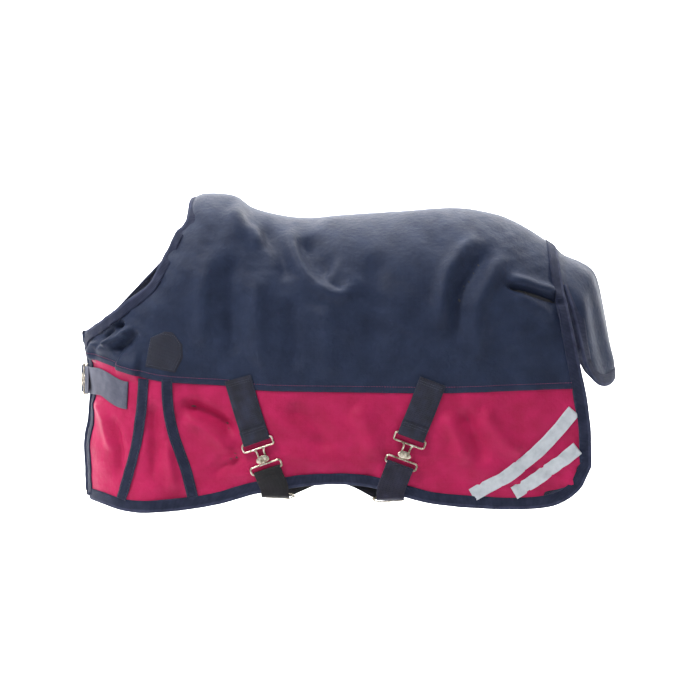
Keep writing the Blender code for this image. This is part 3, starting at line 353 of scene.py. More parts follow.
def layout(columns, rows, side):
    """(t, q) of a grid of crossings, rows down the rug, for whole or part columns."""
    return crossings(*np.meshgrid(columns, rows), side)


def crossings(column, row, side):
    """(t, q) of single crossings of the cloth's layout."""
    z = mix(SPINE[0][1], HEM[0][1], row / LAST_ROW)
    corner = q_of(np.array(NECK_BACK), curve(NECKLINE, NECK_BACK), 1)
    for _ in range(40):
        t = column_t(column, z, side)
        seam = np.abs(q_of(t, height_on(SEAM, t, side), side))
        hem = np.abs(q_of(t, height_on(HEM, t, side), side))
        line_t = np.clip(t, FRONT_T, NECK_BACK)
        neck = np.abs(q_of(t, height_on(NECKLINE, line_t, side), side))
        behind = smooth(0, 1, (column - GUSSET_COLUMN) / 8)
        neck = np.where(column > GUSSET_COLUMN,
                        mix(corner, seam * NECK_ROW / SEAM_ROW, behind), neck)
        q = np.where(row <= NECK_ROW, neck * row / NECK_ROW,
                     mix(neck, seam, (row - NECK_ROW) / (SEAM_ROW - NECK_ROW)))
        q = np.where(row > SEAM_ROW,
                     mix(seam, hem, (row - SEAM_ROW) / (LAST_ROW - SEAM_ROW)), q)
        z = mix(z, base_point(t, q * side)[..., 2], 0.6)
    return t, q * side


# ---- folds ------------------------------------------------------------------------------
def line_distance(x, z, points):
    """Distance from each place to a polyline, and how far along it the nearest place is."""
    line = spline(points, 4 * len(points))
    best = np.full(x.shape, 9.0)
    place = np.zeros(x.shape)
    for k, (a, b) in enumerate(zip(line, line[1:])):
        span = b - a
        f = ((x - a[0]) * span[0] + (z - a[1]) * span[1]) / (span @ span)
        f = np.clip(f, 0, 1)
        d = np.hypot(x - a[0] - f * span[0], z - a[1] - f * span[1])
        place = np.where(d < best, (k + f) / (len(line) - 1), place)
        best = np.minimum(best, d)
    return best, place


def ripples(x, z):
    """Small slack creases all over the cloth: bent sine waves at several sizes."""
    bend = 0.020 * np.sin(11 * x + 3 * np.sin(9 * z + 1.3)) + 0.016 * np.sin(17 * z + 2.1)
    total = 0.0
    for angle, length, height, phase in ((0.35, 0.110, 0.0016, 0.4), (1.15, 0.070, 0.0011, 2.0),
                                         (-0.60, 0.047, 0.0007, 1.1), (0.90, 0.031, 0.00045, 4.0),
                                         (-1.30, 0.024, 0.00030, 3.1)):
        run = (x + bend) * math.cos(angle) + (z + 0.7 * bend) * math.sin(angle)
        strength = 0.6 + 0.4 * np.sin(13 * x - 7 * z + phase * 3)
        total = total + height * strength * np.sin(2 * math.pi * run / length + phase)
    return total


def calm(x, z):
    """1 on free cloth, 0 under straps and patches, which hold it flat."""
    free = 1.0
    for line, bar in ((FRONT_STRAP, FRONT_HOOK_BAR), (REAR_STRAP, REAR_HOOK_BAR)):
        foot = (bar[0], curve(HEM, bar[0]) + 0.01)
        distance, _ = line_distance(x, z, [*line, bar, foot])
        free = free * smooth(0.022, 0.050, distance)
    tab, _ = line_distance(x, z, CHEST_TAB)
    return free * smooth(0.020, 0.040, tab)


def relief(t, q):
    """Height of the cloth's folds over the plain surface."""
    place = base_point(t, q)
    x, z = np.atleast_1d(place[..., 0]), np.atleast_1d(place[..., 2])
    side = np.where(q < 0, -1, 1)
    seen_x = np.where(side < 0, x, x + 0.012 * np.sin(9 * z))
    rise = ripples(seen_x, z)
    for points, width, height in FOLDS:
        low, high = np.min(points, axis=0) - 3 * width, np.max(points, axis=0) + 3 * width
        near = (seen_x > low[0]) & (seen_x < high[0]) & (z > low[1]) & (z < high[1])
        if near.any():
            distance, along = line_distance(seen_x[near], z[near], points)
            ends = smooth(0, 0.22, along) * smooth(0, 0.22, 1 - along)
            rise[near] += FOLD_GAIN * height * ends * np.exp(-(distance / width) ** 2)
    rise = rise * calm(x, z) * smooth(0.0, 0.06, np.abs(q))
    roll = smooth(-0.435, -0.490, z) * smooth(-0.14, -0.06, x) * (1 - smooth(0.05, 0.13, x))
    return (rise - BELLY_ROLL * roll * calm(x, z)).reshape(place.shape[:-1])


def cloth_at(t, q, out=0.0):
    """Point and normal of the folded surface."""
    t, q = np.broadcast_arrays(np.asarray(t, float), np.asarray(q, float))
    step = 0.0015

    def at(tt, qq):
        return base_point(tt, qq) + base_normal(tt, qq) * relief(tt, qq)[..., None]

    here = at(t, q)
    normal = unit(np.cross(at(t + step, q) - at(t - step, q), at(t, q + step) - at(t, q - step)))
    return here + normal * out, normal


def at_side(x, z, side, out=0.0):
    t = t_of(x, z, side)
    q = q_of(t, z, side)
    return base_point(t, q) + base_normal(t, q) * np.asarray(out)[..., None]


def side_normal(x, z, side):
    t = t_of(x, z, side)
    return base_normal(t, q_of(t, z, side))


# ---- mesh helpers -----------------------------------------------------------------------
def make_piece(name, grids, finish):
    """Smooth mesh from (points, uv) grids; grids that share an edge are joined there."""
    verts, faces, uvs = [], [], []
    for points, uv in grids:
        rows, columns = points.shape[:2]
        start = len(verts)
        verts.extend(points.reshape(-1, 3).tolist())
        flat = uv.reshape(-1, 2)
        index = np.arange(rows * columns).reshape(rows, columns)
        quads = np.stack([index[:-1, :-1], index[1:, :-1], index[1:, 1:], index[:-1, 1:]], -1)
        quads = quads.reshape(-1, 4)
        faces.extend((quads + start).tolist())
        uvs.append(flat[quads.reshape(-1)])
    mesh = bpy.data.meshes.new(name)
    mesh.from_pydata(verts, [], faces)
    layer = mesh.uv_layers.new(name="UVMap")
    layer.data.foreach_set("uv", np.concatenate(uvs).astype(np.float32).ravel())
    weld(mesh)
    return place_mesh(name, mesh, finish)


def place_mesh(name, mesh, finish):
    obj = bpy.data.objects.new(name, mesh)
    bpy.context.scene.collection.objects.link(obj)
    mesh.shade_smooth()
    mesh.materials.append(finish)
    return obj


def carry(piece, bends):
    """Rides on the rug, or, for the far chest flap's pieces, is left unattached with its placement
    baked in.
    """
    if bends:
        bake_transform(piece)
    else:
        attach(piece, "rug")


def weld(mesh, distance=1e-5):
    bm = bmesh.new()
    bm.from_mesh(mesh)
    bmesh.ops.remove_doubles(bm, verts=bm.verts, dist=distance)
    bm.to_mesh(mesh)
    bm.free()


def face_out(points, away):
    """Flips a grid where needed so that its faces look the given way at its middle."""
    r, c = points.shape[0] // 2, points.shape[1] // 2
    r, c = min(r, points.shape[0] - 2), min(c, points.shape[1] - 2)
    look = np.cross(points[r + 1, c] - points[r, c], points[r, c + 1] - points[r, c])
    return points if look @ away > 0 else points[:, ::-1]


def band(name, middles, normals, width, thickness, finish, soften=0.25):
    """Webbing or tape with rounded edges: a closed flat section swept along its middle."""
    middles, normals = np.asarray(middles), unit(normals)
    ahead = np.gradient(middles, axis=0)
    across = unit(np.cross(normals, ahead))
    half, deep = width / 2, thickness / 2
    edge = thickness * soften + 0.0002
    section = [(-half + edge, deep), (-half, deep * 0.3), (-half, -deep * 0.3),
               (-half + edge, -deep), (-half * 0.5, -deep), (0, -deep), (half * 0.5, -deep),
               (half - edge, -deep), (half, -deep * 0.3), (half, deep * 0.3),
               (half - edge, deep), (half * 0.5, deep), (0, deep), (-half * 0.5, deep)]
    section.append(section[0])
    grid = np.stack([middles + across * a + normals * b for a, b in section], 1)
    run = arc(middles)
    uv = np.empty(grid.shape[:2] + (2,))
    uv[..., 0] = run[:, None]
    uv[..., 1] = np.array([a for a, _ in section])[None, :]
    if grid.shape[0] > 1:
        first = np.cross(grid[1, 12] - grid[0, 12], grid[0, 13] - grid[0, 12])
        if first @ normals[0] < 0:
            grid, uv = grid[:, ::-1], uv[:, ::-1]
    obj = make_piece(name, [(grid, uv)], finish)
    close_ends(obj.data)
    return obj


def close_ends(mesh):
    bm = bmesh.new()
    bm.from_mesh(mesh)
    open_edges = [e for e in bm.edges if e.is_boundary]
    bmesh.ops.holes_fill(bm, edges=open_edges, sides=0)
    bm.to_mesh(mesh)
    bm.free()


# ---- materials --------------------------------------------------------------------------
class Nodes:
    """Short way to write a material's node tree."""

    def __init__(self, name, **sockets):
        self.made = bpy.data.materials.new(name)
        self.made.use_nodes = True
        self.tree = self.made.node_tree
        self.shader = self.tree.nodes["Principled BSDF"]
        for socket, value in sockets.items():
            self.shader.inputs[socket.replace("_", " ")].default_value = value

    def add(self, kind, inputs=(), **settings):
        node = self.tree.nodes.new("ShaderNode" + kind)
        for key, value in settings.items():
            setattr(node, key, value)
        for socket, value in dict(inputs).items():
            self.put(node.inputs[socket], value)
        return node

    def put(self, socket, value):
        if isinstance(value, bpy.types.NodeSocket):
            self.tree.links.new(value, socket)
        else:
            socket.default_value = value

    def math(self, operation, a, b=0.0):
        return self.add("Math", {0: a, 1: b}, operation=operation).outputs[0]

    def noise(self, scale, detail=3.0, vector=None):
        where = vector or self.add("TexCoord").outputs["Object"]
        return self.add("TexNoise", {"Vector": where, "Scale": scale, "Detail": detail}
                        ).outputs["Fac"]

    def uv(self):
        split = self.add("SeparateXYZ", {0: self.add("UVMap", uv_map="UVMap").outputs[0]})
        return split.outputs[0], split.outputs[1]

    def wave(self, value, pitch):
        """A sine of the value that repeats every pitch, from -1 to 1."""
        return self.math("SINE", self.math("MULTIPLY", value, 2 * math.pi / pitch))

    def ramp(self, value, *stops):
        node = self.add("ValToRGB", {0: value})
        points = node.color_ramp.elements
        while len(points) < len(stops):
            points.new(1.0)
        for point, (place, colour) in zip(points, stops):
            point.position = place
            point.color = (*colour, 1)
        return node.outputs[0]

    def blend(self, share, a, b, how="MIX"):
        node = self.add("Mix", data_type="RGBA", blend_type=how)
        self.put(node.inputs[0], share)
        self.put(node.inputs[6], a if isinstance(a, bpy.types.NodeSocket) else (*a, 1))
        self.put(node.inputs[7], b if isinstance(b, bpy.types.NodeSocket) else (*b, 1))
        return node.outputs[2]

    def finish(self, colour, height=None, distance=0.0003, roughness=None):
        self.put(self.shader.inputs["Base Color"], colour)
        if height is not None:
            bump = self.add("Bump", {"Height": height, "Distance": distance, "Strength": 1.0})
            self.put(self.shader.inputs["Normal"], bump.outputs[0])
        if roughness is not None:
            self.put(self.shader.inputs["Roughness"], roughness)
        return self.made


def woven_cloth(name, dark, light, sheen):
    """Coated polyester: fine plain weave, a faint ripstop grid and slack mottling."""
    n = Nodes(name, Sheen_Weight=sheen, Sheen_Roughness=0.5, Specular_IOR_Level=0.20)
    u, v = n.uv()
    threads = n.math("MULTIPLY", n.wave(u, 0.0021), n.wave(v, 0.0021))
    bars = n.math("MAXIMUM", n.wave(u, 0.0085), n.wave(v, 0.0085))
    bars = n.math("POWER", n.math("MAXIMUM", bars, 0.0), 12.0)
    mottle = n.noise(26, 4)
    grain = n.noise(900, 2)
    tone = n.ramp(n.math("ADD", n.math("MULTIPLY", mottle, 0.7), n.math("MULTIPLY", grain, 0.3)),
                  (0.32, dark), (0.68, light))
    tone = n.blend(n.math("MULTIPLY", bars, 0.16), tone, light)
    crinkle = n.noise(120, 5)
    height = n.math("ADD", n.math("MULTIPLY", threads, 0.16),
                    n.math("ADD", n.math("MULTIPLY", bars, 0.10),
                           n.math("MULTIPLY", crinkle, 2.4)))
    rough = n.math("ADD", n.math("MULTIPLY", n.noise(55, 3), 0.22), 0.46)
    return n.finish(tone, height, 0.0005, rough)


def ribbed_tape(name, dark, light, rib, width):
    """Woven tape: ribs across it, painted shade in the hollows between them and paler worn edges.
    """
    n = Nodes(name, Sheen_Weight=0.04, Roughness=0.72, Specular_IOR_Level=0.12)
    u, v = n.uv()
    ribs = n.math("MULTIPLY", n.math("ADD", n.wave(u, rib), 1.0), 0.5)
    fine = n.math("MULTIPLY", n.wave(v, rib * 0.8), n.wave(u, rib * 0.5))
    mottle = n.noise(60, 4)
    # painted shade: the tone follows the ribs, darker in the hollows between them
    tone = n.ramp(n.math("ADD", n.math("MULTIPLY", ribs, 0.35), n.math("MULTIPLY", mottle, 0.65)),
                  (0.30, dark), (0.75, light))
    edge = n.math("DIVIDE", n.math("ABSOLUTE", v), width / 2)
    worn = n.math("POWER", n.math("MINIMUM", edge, 1.0), 14.0)
    worn = n.math("MULTIPLY", worn, n.math("MULTIPLY", mottle, 0.55))
    tone = n.blend(worn, tone, tuple(min(1, c * 2.2 + 0.02) for c in light))
    height = n.math("ADD", ribs, n.math("MULTIPLY", fine, 0.35))
    return n.finish(tone, height, 0.00035)


def webbing(name, dark, light, width=WEB_W):
    """Surcingle webbing: fine cords along it in a broken twill, with bound edges."""
    n = Nodes(name, Sheen_Weight=0.10, Roughness=0.70, Specular_IOR_Level=0.35)
    u, v = n.uv()
    zigzag = n.math("ABSOLUTE", n.wave(v, width / 4))
    slant = n.math("ADD", u, n.math("MULTIPLY", zigzag, 0.004))
    twill = n.wave(slant, 0.0034)
    cords = n.wave(v, 0.0019)
    weave = n.math("ADD", n.math("MULTIPLY", twill, 0.6), n.math("MULTIPLY", cords, 0.4))
    edge = n.math("DIVIDE", n.math("ABSOLUTE", v), width / 2)
    rim = n.math("GREATER_THAN", edge, 0.90)
    mottle = n.noise(45, 4)
    tone = n.ramp(n.math("ADD", n.math("MULTIPLY", weave, 0.18), mottle),
                  (0.30, dark), (0.75, light))
    tone = n.blend(n.math("MULTIPLY", rim, 0.4), tone, light)
    height = n.math("ADD", weave, n.math("MULTIPLY", rim, 0.5))
    return n.finish(tone, height, 0.0004)


def reflective(name):
    """Silver glass-bead tape: a fine bead grid, scuffs and softly darker creases."""
    n = Nodes(name, Metallic=0.10, Specular_IOR_Level=0.5, Coat_Weight=0.10,
              Coat_Roughness=0.25)
    u, v = n.uv()
    beads = n.math("MULTIPLY", n.wave(n.math("ADD", u, v), 0.0022),
                   n.wave(n.math("SUBTRACT", u, v), 0.0022))
    scuffs = n.noise(90, 5)
    tone = n.ramp(n.math("ADD", scuffs, n.math("MULTIPLY", beads, 0.05)),
                  (0.30, (0.46, 0.50, 0.55)), (0.48, (0.54, 0.58, 0.63)),
                  (0.70, (0.60, 0.64, 0.69)))
    rough = n.math("ADD", n.math("MULTIPLY", scuffs, 0.3), 0.25)
    return n.finish(tone, n.math("ADD", beads, n.math("MULTIPLY", scuffs, 0.5)), 0.0001, rough)


def plated_metal(name):
    """Warm plated steel, brushed and tarnished in its hollows."""
    n = Nodes(name, Metallic=1.0)
    tarnish = n.noise(140, 5)
    tone = n.ramp(tarnish, (0.34, (0.20, 0.165, 0.115)), (0.50, (0.56, 0.50, 0.40)),
                  (0.68, (0.84, 0.80, 0.71)))
    rough = n.math("ADD", n.math("MULTIPLY", n.noise(420, 3), 0.28), 0.16)
    return n.finish(tone, n.noise(900, 2), 0.00008, rough)


def quilted_lining(name, dark, light):
    """Slippery nylon lining, quilted in diamonds, with painted shade in its sewn hollows and
    painted light on its puffs.
    """
    n = Nodes(name, Sheen_Weight=0.2, Specular_IOR_Level=0.5)
    u, v = n.uv()
    one = n.math("ABSOLUTE", n.wave(n.math("ADD", u, v), 0.24))
    two = n.math("ABSOLUTE", n.wave(n.math("SUBTRACT", u, v), 0.24))
    puff = n.math("POWER", n.math("MINIMUM", one, two), 0.4)
    mottle = n.noise(40, 4)
    # painted shade and light: the tone follows the puffs, darker in the quilted hollows and lighter
    # on the puffs' tops
    tone = n.ramp(n.math("MULTIPLY", n.math("ADD", mottle, puff), 0.5),
                  (0.2, dark), (0.8, light))
    height = n.math("ADD", n.math("MULTIPLY", puff, 6.0), mottle)
    rough = n.math("ADD", n.math("MULTIPLY", mottle, 0.2), 0.32)
    return n.finish(tone, height, 0.0005, rough)


def thread(name, dark, light):
    """Twisted sewing thread."""
    n = Nodes(name, Sheen_Weight=0.2, Roughness=0.6)
    twist = n.noise(1500, 2)
    return n.finish(n.ramp(twist, (0.3, dark), (0.7, light)), twist, 0.0001)


def studio_white(name):
    n = Nodes(name, Roughness=0.9)
    return n.finish(n.ramp(n.noise(3, 2), (0.3, (0.80, 0.80, 0.80)), (0.7, (0.82, 0.82, 0.82))))


# ---- cloth panels -----------------------------------------------------------------------
def steps(first, last, per_unit=DENSITY):
    return np.linspace(first, last, int(round((last - first) * per_unit)) + 1)


def cloth_grid(columns, rows, side, out=0.0, cut=(0.0, 0.0)):
    """Points and uv of the folded cloth between two columns and two rows. cut draws the
    top and bottom edges in, by these distances."""
    t, q = layout(columns, rows, side)
    q = q + side * (cut[0] * (rows == rows[0]) - cut[1] * (rows == rows[-1]))[:, None]
    return cloth_sheet(t, q, out, side)


def cloth_sheet(t, q, out, side):
    points, _ = cloth_at(t, q, out)
    uv = np.stack([t, np.abs(q)], -1)
    if side > 0:
        points, uv = points[:, ::-1], uv[:, ::-1]
    return points, uv


def seam_lift(q, seam_q):
    """The outer cloth is folded under and sewn over the panels along its lower edge."""
    up = np.abs(seam_q) - np.abs(q)
    return SEAM_RISE * (1 - smooth(SEAM_STITCH, SEAM_STITCH + 0.0035, up)) \
        - 0.0009 * np.exp(-((up - SEAM_STITCH) / 0.0016) ** 2)


def upper_grid(columns, rows, side):
    """Outer cloth above the seam, with its turned lower edge."""
    hem_rows = SEAM_ROW - np.array([0.42, 0.36, 0.32, 0.29, 0.26, 0.23, 0.15, 0.08, 0.03, 0.0])
    rows = np.concatenate([rows[rows < SEAM_ROW - 0.45], hem_rows])
    t, q = layout(columns, rows, side)
    lift = seam_lift(q, q[-1:])
    t = np.vstack([t, t[-1:]])
    q = np.vstack([q, q[-1:]])
    lift = np.vstack([lift, np.full_like(lift[:1], -0.0003)])
    return cloth_sheet(t, q, lift[..., None], side)


def cut_size(grids):
    """Flat width and length that hold a piece's cloth, and the cloth's own area."""
    area = 0.0
    width = length = 0.0
    for points, _ in grids:
        a = points[1:, :-1] - points[:-1, :-1]
        b = points[:-1, 1:] - points[:-1, :-1]
        area += float(np.linalg.norm(np.cross(a, b), axis=-1).sum())
        width = max(width, float(arc(points).max()))
        length += float(arc(points.transpose(1, 0, 2)).max())
    return width, length, area


def declare(grids):
    width, length, area = cut_size(grids)
    width = min(max(width, 1.02 * area / length), area / (0.35 * length))


def outer_cloth(looks):
    back = steps(GUSSET_COLUMN, LAST_COLUMN)
    front = steps(0, GUSSET_COLUMN)
    neck_rows, all_rows = steps(NECK_ROW, SEAM_ROW), steps(0, SEAM_ROW)
    shell = [upper_grid(front, neck_rows, -1), upper_grid(back, all_rows, -1),
             upper_grid(back, all_rows, 1)]
    main = make_piece("shell_main", shell, looks["navy"])
    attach(main, "rug")
    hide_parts("outer_shell")
    declare(shell)
    far = [upper_grid(front, neck_rows, 1)]
    chest = make_piece("shell_far_front", far, looks["navy"])
    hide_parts("right_chest_shell")
    declare(far)
    carry(chest, True)

    low = steps(SEAM_ROW, LAST_ROW)
    panels = ((0, CHEST_COLUMNS, "chest_panel"),
              (CHEST_COLUMNS, GUSSET_COLUMN, "shoulder_gusset"),
              (GUSSET_COLUMN, LAST_COLUMN, "side_panel"))
    for side, word in ((-1, "left"), (1, "right")):
        for first, last, panel in panels:
            grid = [cloth_grid(steps(first, last), low, side, -0.0002, (-0.004, 0.0))]
            piece = make_piece(f"{word}_{panel}_cloth", grid, looks["pink"])
            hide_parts(f"{word}_{panel}")
            declare(grid)
            carry(piece, side > 0 and last <= GUSSET_COLUMN)


def linings(looks):
    inside = -STACK + 0.0004
    sparse = DENSITY // 2
    front = steps(0, GUSSET_COLUMN, sparse)
    back = steps(GUSSET_COLUMN, LAST_COLUMN, sparse)
    low, full = steps(NECK_ROW, LAST_ROW, sparse), steps(0, LAST_ROW, sparse)
    grids = [cloth_grid(front, low, -1, inside), cloth_grid(back, full, -1, inside),
             cloth_grid(back, full, 1, inside)]
    main = make_piece("lining_main", grids, looks["lining"])
    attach(main, "rug")
    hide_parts("lining")
    declare(grids)
    grids = [cloth_grid(front, low, 1, inside)]
    chest = make_piece("lining_far_front", grids, looks["lining"])
    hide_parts("right_chest_lining")
    declare(grids)
    carry(chest, True)


# ---- bindings ---------------------------------------------------------------------------
def edge_track(spots, side):
    """t, q and the t, q inwards from it, for (column, row, inner column, inner row)."""
    spots = np.array(spots, float)
    return (*crossings(spots[:, 0], spots[:, 1], side),
            *crossings(spots[:, 2], spots[:, 3], side))


def folded_binding(name, edge, edge_normal, inner, inner_normal, stack, looks):
    """Tape folded over a cloth edge: raised outer leaf, round fold and inner leaf."""
    away = unit(edge - inner)
    reach = np.minimum(np.linalg.norm(edge - inner, axis=-1), BINDING_W)[:, None]
    inner = edge - away * reach
    top = BINDING_ROOM + BINDING_T
    under = -(stack + BINDING_ROOM + BINDING_T)
    middle, half = (top + under) / 2, (top - under) / 2
    section = [(1.0, -0.0002), (1.0, top * 0.75), (0.985, top), (0.8, top * 1.05),
               (0.55, top), (0.25, top * 1.15), (0.05, top * 1.05)]
    rows = []
    for share, up in section:
        normal = unit(mix(edge_normal, inner_normal, share))
        rows.append(edge - away * (reach * share) + normal * up)
    for k in range(1, 6):
        a = math.pi / 2 - math.pi * k / 6
        rows.append(edge + away * (half * math.cos(a))
                    + edge_normal * (middle + half * math.sin(a)))
    for share, up in ((0.05, under), (0.5, under), (0.96, under), (1.0, under * 0.8)):
        normal = unit(mix(edge_normal, inner_normal, share))
        rows.append(edge - away * (reach * share) + normal * up)
    grid = np.stack(rows, 1)
    run = np.broadcast_to(arc(edge)[:, None], grid.shape[:2])
    across = arc(grid.transpose(1, 0, 2)).T - BINDING_W / 2
    grid_uv = np.stack([run, across], -1)
    look = np.cross(grid[1, 3] - grid[0, 3], grid[0, 4] - grid[0, 3])
    if look @ edge_normal[0] < 0:
        grid, grid_uv = grid[:, ::-1], grid_uv[:, ::-1]
    return make_piece(name, [(grid, grid_uv)], looks["binding"])


def stitches(name, points, normals, stitch, finish):
    """A row of short thread stitches sunk into cloth along a line."""
    length, gap, size = stitch
    run = arc(points)
    total = float(run[-1])
    count = max(int(total / (length + gap)), 1)
    starts = np.arange(count) * (total / count)
    verts, faces = [], []
    for start in starts:
        place = [np.array([np.interp(start + f * length, run, points[:, k]) for k in range(3)])
                 for f in (0.0, 0.5, 1.0)]
        normal = unit([np.interp(start, run, normals[:, k]) for k in range(3)])
        ahead = unit(place[2] - place[0])
        across = np.cross(normal, ahead)
        base = len(verts)
        verts += [place[0] - normal * size * 0.3, place[2] - normal * size * 0.3]
        for turn in range(4):
            a = math.pi * (turn + 0.5) / 2
            verts.append(place[1] + (across * math.cos(a) + normal * math.sin(a)) * size)
        for turn in range(4):
            here, after = base + 2 + turn, base + 2 + (turn + 1) % 4
            faces += [(base, after, here), (base + 1, here, after)]
    mesh = bpy.data.meshes.new(name)
    mesh.from_pydata([tuple(v) for v in verts], [], faces)
    return place_mesh(name, mesh, finish)


def bindings(looks):
    """Folded tape round every edge: the rug's hem and rear, its neckline and its fronts."""
    last, low, neck, turn = LAST_COLUMN, LAST_ROW, NECK_ROW, GUSSET_COLUMN

    def build(name, parts, body, *nodes):
        tracks = [edge_track(spots, side) for spots, side in parts]
        t, q, inner_t, inner_q = (np.concatenate(v) for v in zip(*tracks))
        edge, edge_normal = cloth_at(t, q)
        inner, inner_normal = cloth_at(inner_t, inner_q)
        ahead = unit(np.gradient(edge, axis=0))
        into = inner - edge
        square = into - ahead * (into * ahead).sum(-1)[:, None]
        inner = edge + unit(square) * BINDING_W
        inner_normal = mix(edge_normal, inner_normal,
                           np.minimum(BINDING_W / np.linalg.norm(into, axis=-1), 1)[:, None])
        piece = folded_binding(name, edge, edge_normal, inner, inner_normal, STACK, looks)
        close_ends(piece.data)
        line = edge + unit(inner - edge) * (BINDING_W - BINDING_SEW_IN)
        normal = unit(mix(edge_normal, inner_normal, 0.85))
        sewn = stitches(name + "_stitches", line + normal * BINDING_SEW_RISE, normal,
                        BINDING_STITCH, looks["navy_thread"])
        for made in (piece, sewn):
            if body:
                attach(made, body)
            else:
                carry(made, True)
        if nodes:
            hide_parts(*nodes)

    def hem(first, end):
        return [(c, low, c, low - 1) for c in steps(first, end, EDGE_DENSITY)]

    def rear(first, end):
        return [(last, r, last - 1, r) for r in steps(first, end, EDGE_DENSITY)]

    corner = [(last, low, last - 1, low - 1)]
    build("hem_binding_main",
          [(hem(0, last - CORNER_ROOM) + corner + rear(0, low - CORNER_ROOM)[::-1], -1),
           (rear(0, low - CORNER_ROOM)[1:] + corner + hem(turn, last - CORNER_ROOM)[::-1], 1)],
          "rug", "edge_binding")
    build("hem_binding_far_front", [(hem(0, turn), 1)], "", "right_chest_hem_binding")

    def neckline(first, end):
        return [(c, neck, c, neck + 1) for c in steps(first, end, EDGE_DENSITY)]

    def withers(first, end):
        return [(turn, r, turn + 1, r) for r in steps(first, end, EDGE_DENSITY)]

    bend = [(turn, neck, turn + 1, neck + 1)]
    build("neck_binding_main",
          [(neckline(0, turn - CORNER_ROOM) + bend + withers(0, neck - CORNER_ROOM)[::-1], -1),
           (withers(0, neck - CORNER_ROOM)[1:] + bend, 1)],
          "rug", "neck_binding")
    build("neck_binding_far_front", [(neckline(0, turn), 1)], "", "right_chest_neck_binding")
    front = [(0, r, 1, r) for r in steps(neck + 0.15, low - 0.15, EDGE_DENSITY)]
    build("left_front_binding", [(front, -1)], "rug", "left_chest_binding")
    build("right_front_binding", [(front, 1)], "right_chest_flap", "right_chest_binding")


def seam_stitching(looks):
    """Twin rows of magenta thread along the turned edge of the outer cloth."""
    for side, word in ((-1, "near"), (1, "far")):
        for first, end in ((0, GUSSET_COLUMN), (GUSSET_COLUMN, LAST_COLUMN)):
            t, q = layout(steps(first, end, 6), np.array([float(SEAM_ROW)]), side)
            for number, up in enumerate((0.0022, SEAM_STITCH)):
                points, normals = cloth_at(t[0], q[0] - side * up, 0.0009)
                row = stitches(f"{word}_seam_stitches_{first}_{number}", points, normals,
                               SEAM_ROW_STITCH, looks["pink_thread"])
                carry(row, side > 0 and end == GUSSET_COLUMN)


# ---- tail flap --------------------------------------------------------------------------
def flap_tops(count):
    """Places along the flap's sewn edge, from the near side over the spine to the far."""
    rows = np.linspace(-FLAP_SEWN_ROWS, FLAP_SEWN_ROWS, count)
    sign = np.where(rows < 0, -1, 1)
    last = np.full(count, float(LAST_COLUMN))
    t, q = crossings(last, np.abs(rows), 1)
    inner_t, inner_q = crossings(last - 1, np.abs(rows), 1)
    after_t, after_q = crossings(last, np.abs(rows) + 0.5, 1)
    edge = base_point(t, q * sign)
    lip = edge - base_point(inner_t, inner_q * sign)
    along = unit(base_point(after_t, after_q * sign) - edge)
    lip = unit(lip - along * (lip * along).sum(-1)[:, None])
    return edge + lip * FLAP_REACH


def flap_points(columns, rows):
    tops = flap_tops(columns)
    half = columns // 2
    middle_line = np.array([(x, 0, z) for x, z in FLAP_MIDDLE])
    lowest = tops[-1]
    span = tops[half][2] - lowest[2]
    v = np.linspace(0, 1, rows)
    middle = spline(middle_line, rows) + (tops[half] - middle_line[0]) * ((1 - v) ** 2)[:, None]
    edge = lowest + (FLAP_CORNER - lowest) * v[:, None]
    share = np.clip((tops[:, 2] - lowest[2]) / span, 0, 1)
    grid = np.empty((rows, columns, 3))
    grid[..., 0] = edge[:, None, 0] + (middle - edge)[:, None, 0] * share
    grid[..., 1] = edge[:, None, 1] * tops[None, :, 1] / lowest[1]
    grid[..., 2] = edge[:, None, 2] + (middle - edge)[:, None, 2] * share
    grid[..., 2] -= FLAP_DROOP * 4 * (share * (1 - share))[None, :] * (v ** 3)[:, None]
    grid[..., 0] += FLAP_SIDE_ROOM * (1 - share)[None, :] * (1 - (1 - v) ** 6)[:, None]
    start_x = lowest[0] + (tops[half][0] - lowest[0]) * share
    grid[..., 0] += (tops[:, 0] - start_x)[None, :] * ((1 - v) ** 2)[:, None]
    return grid


def grid_normals(grid):
    down = np.gradient(grid, axis=0)
    across = np.gradient(grid, axis=1)
    return unit(np.cross(down, across))


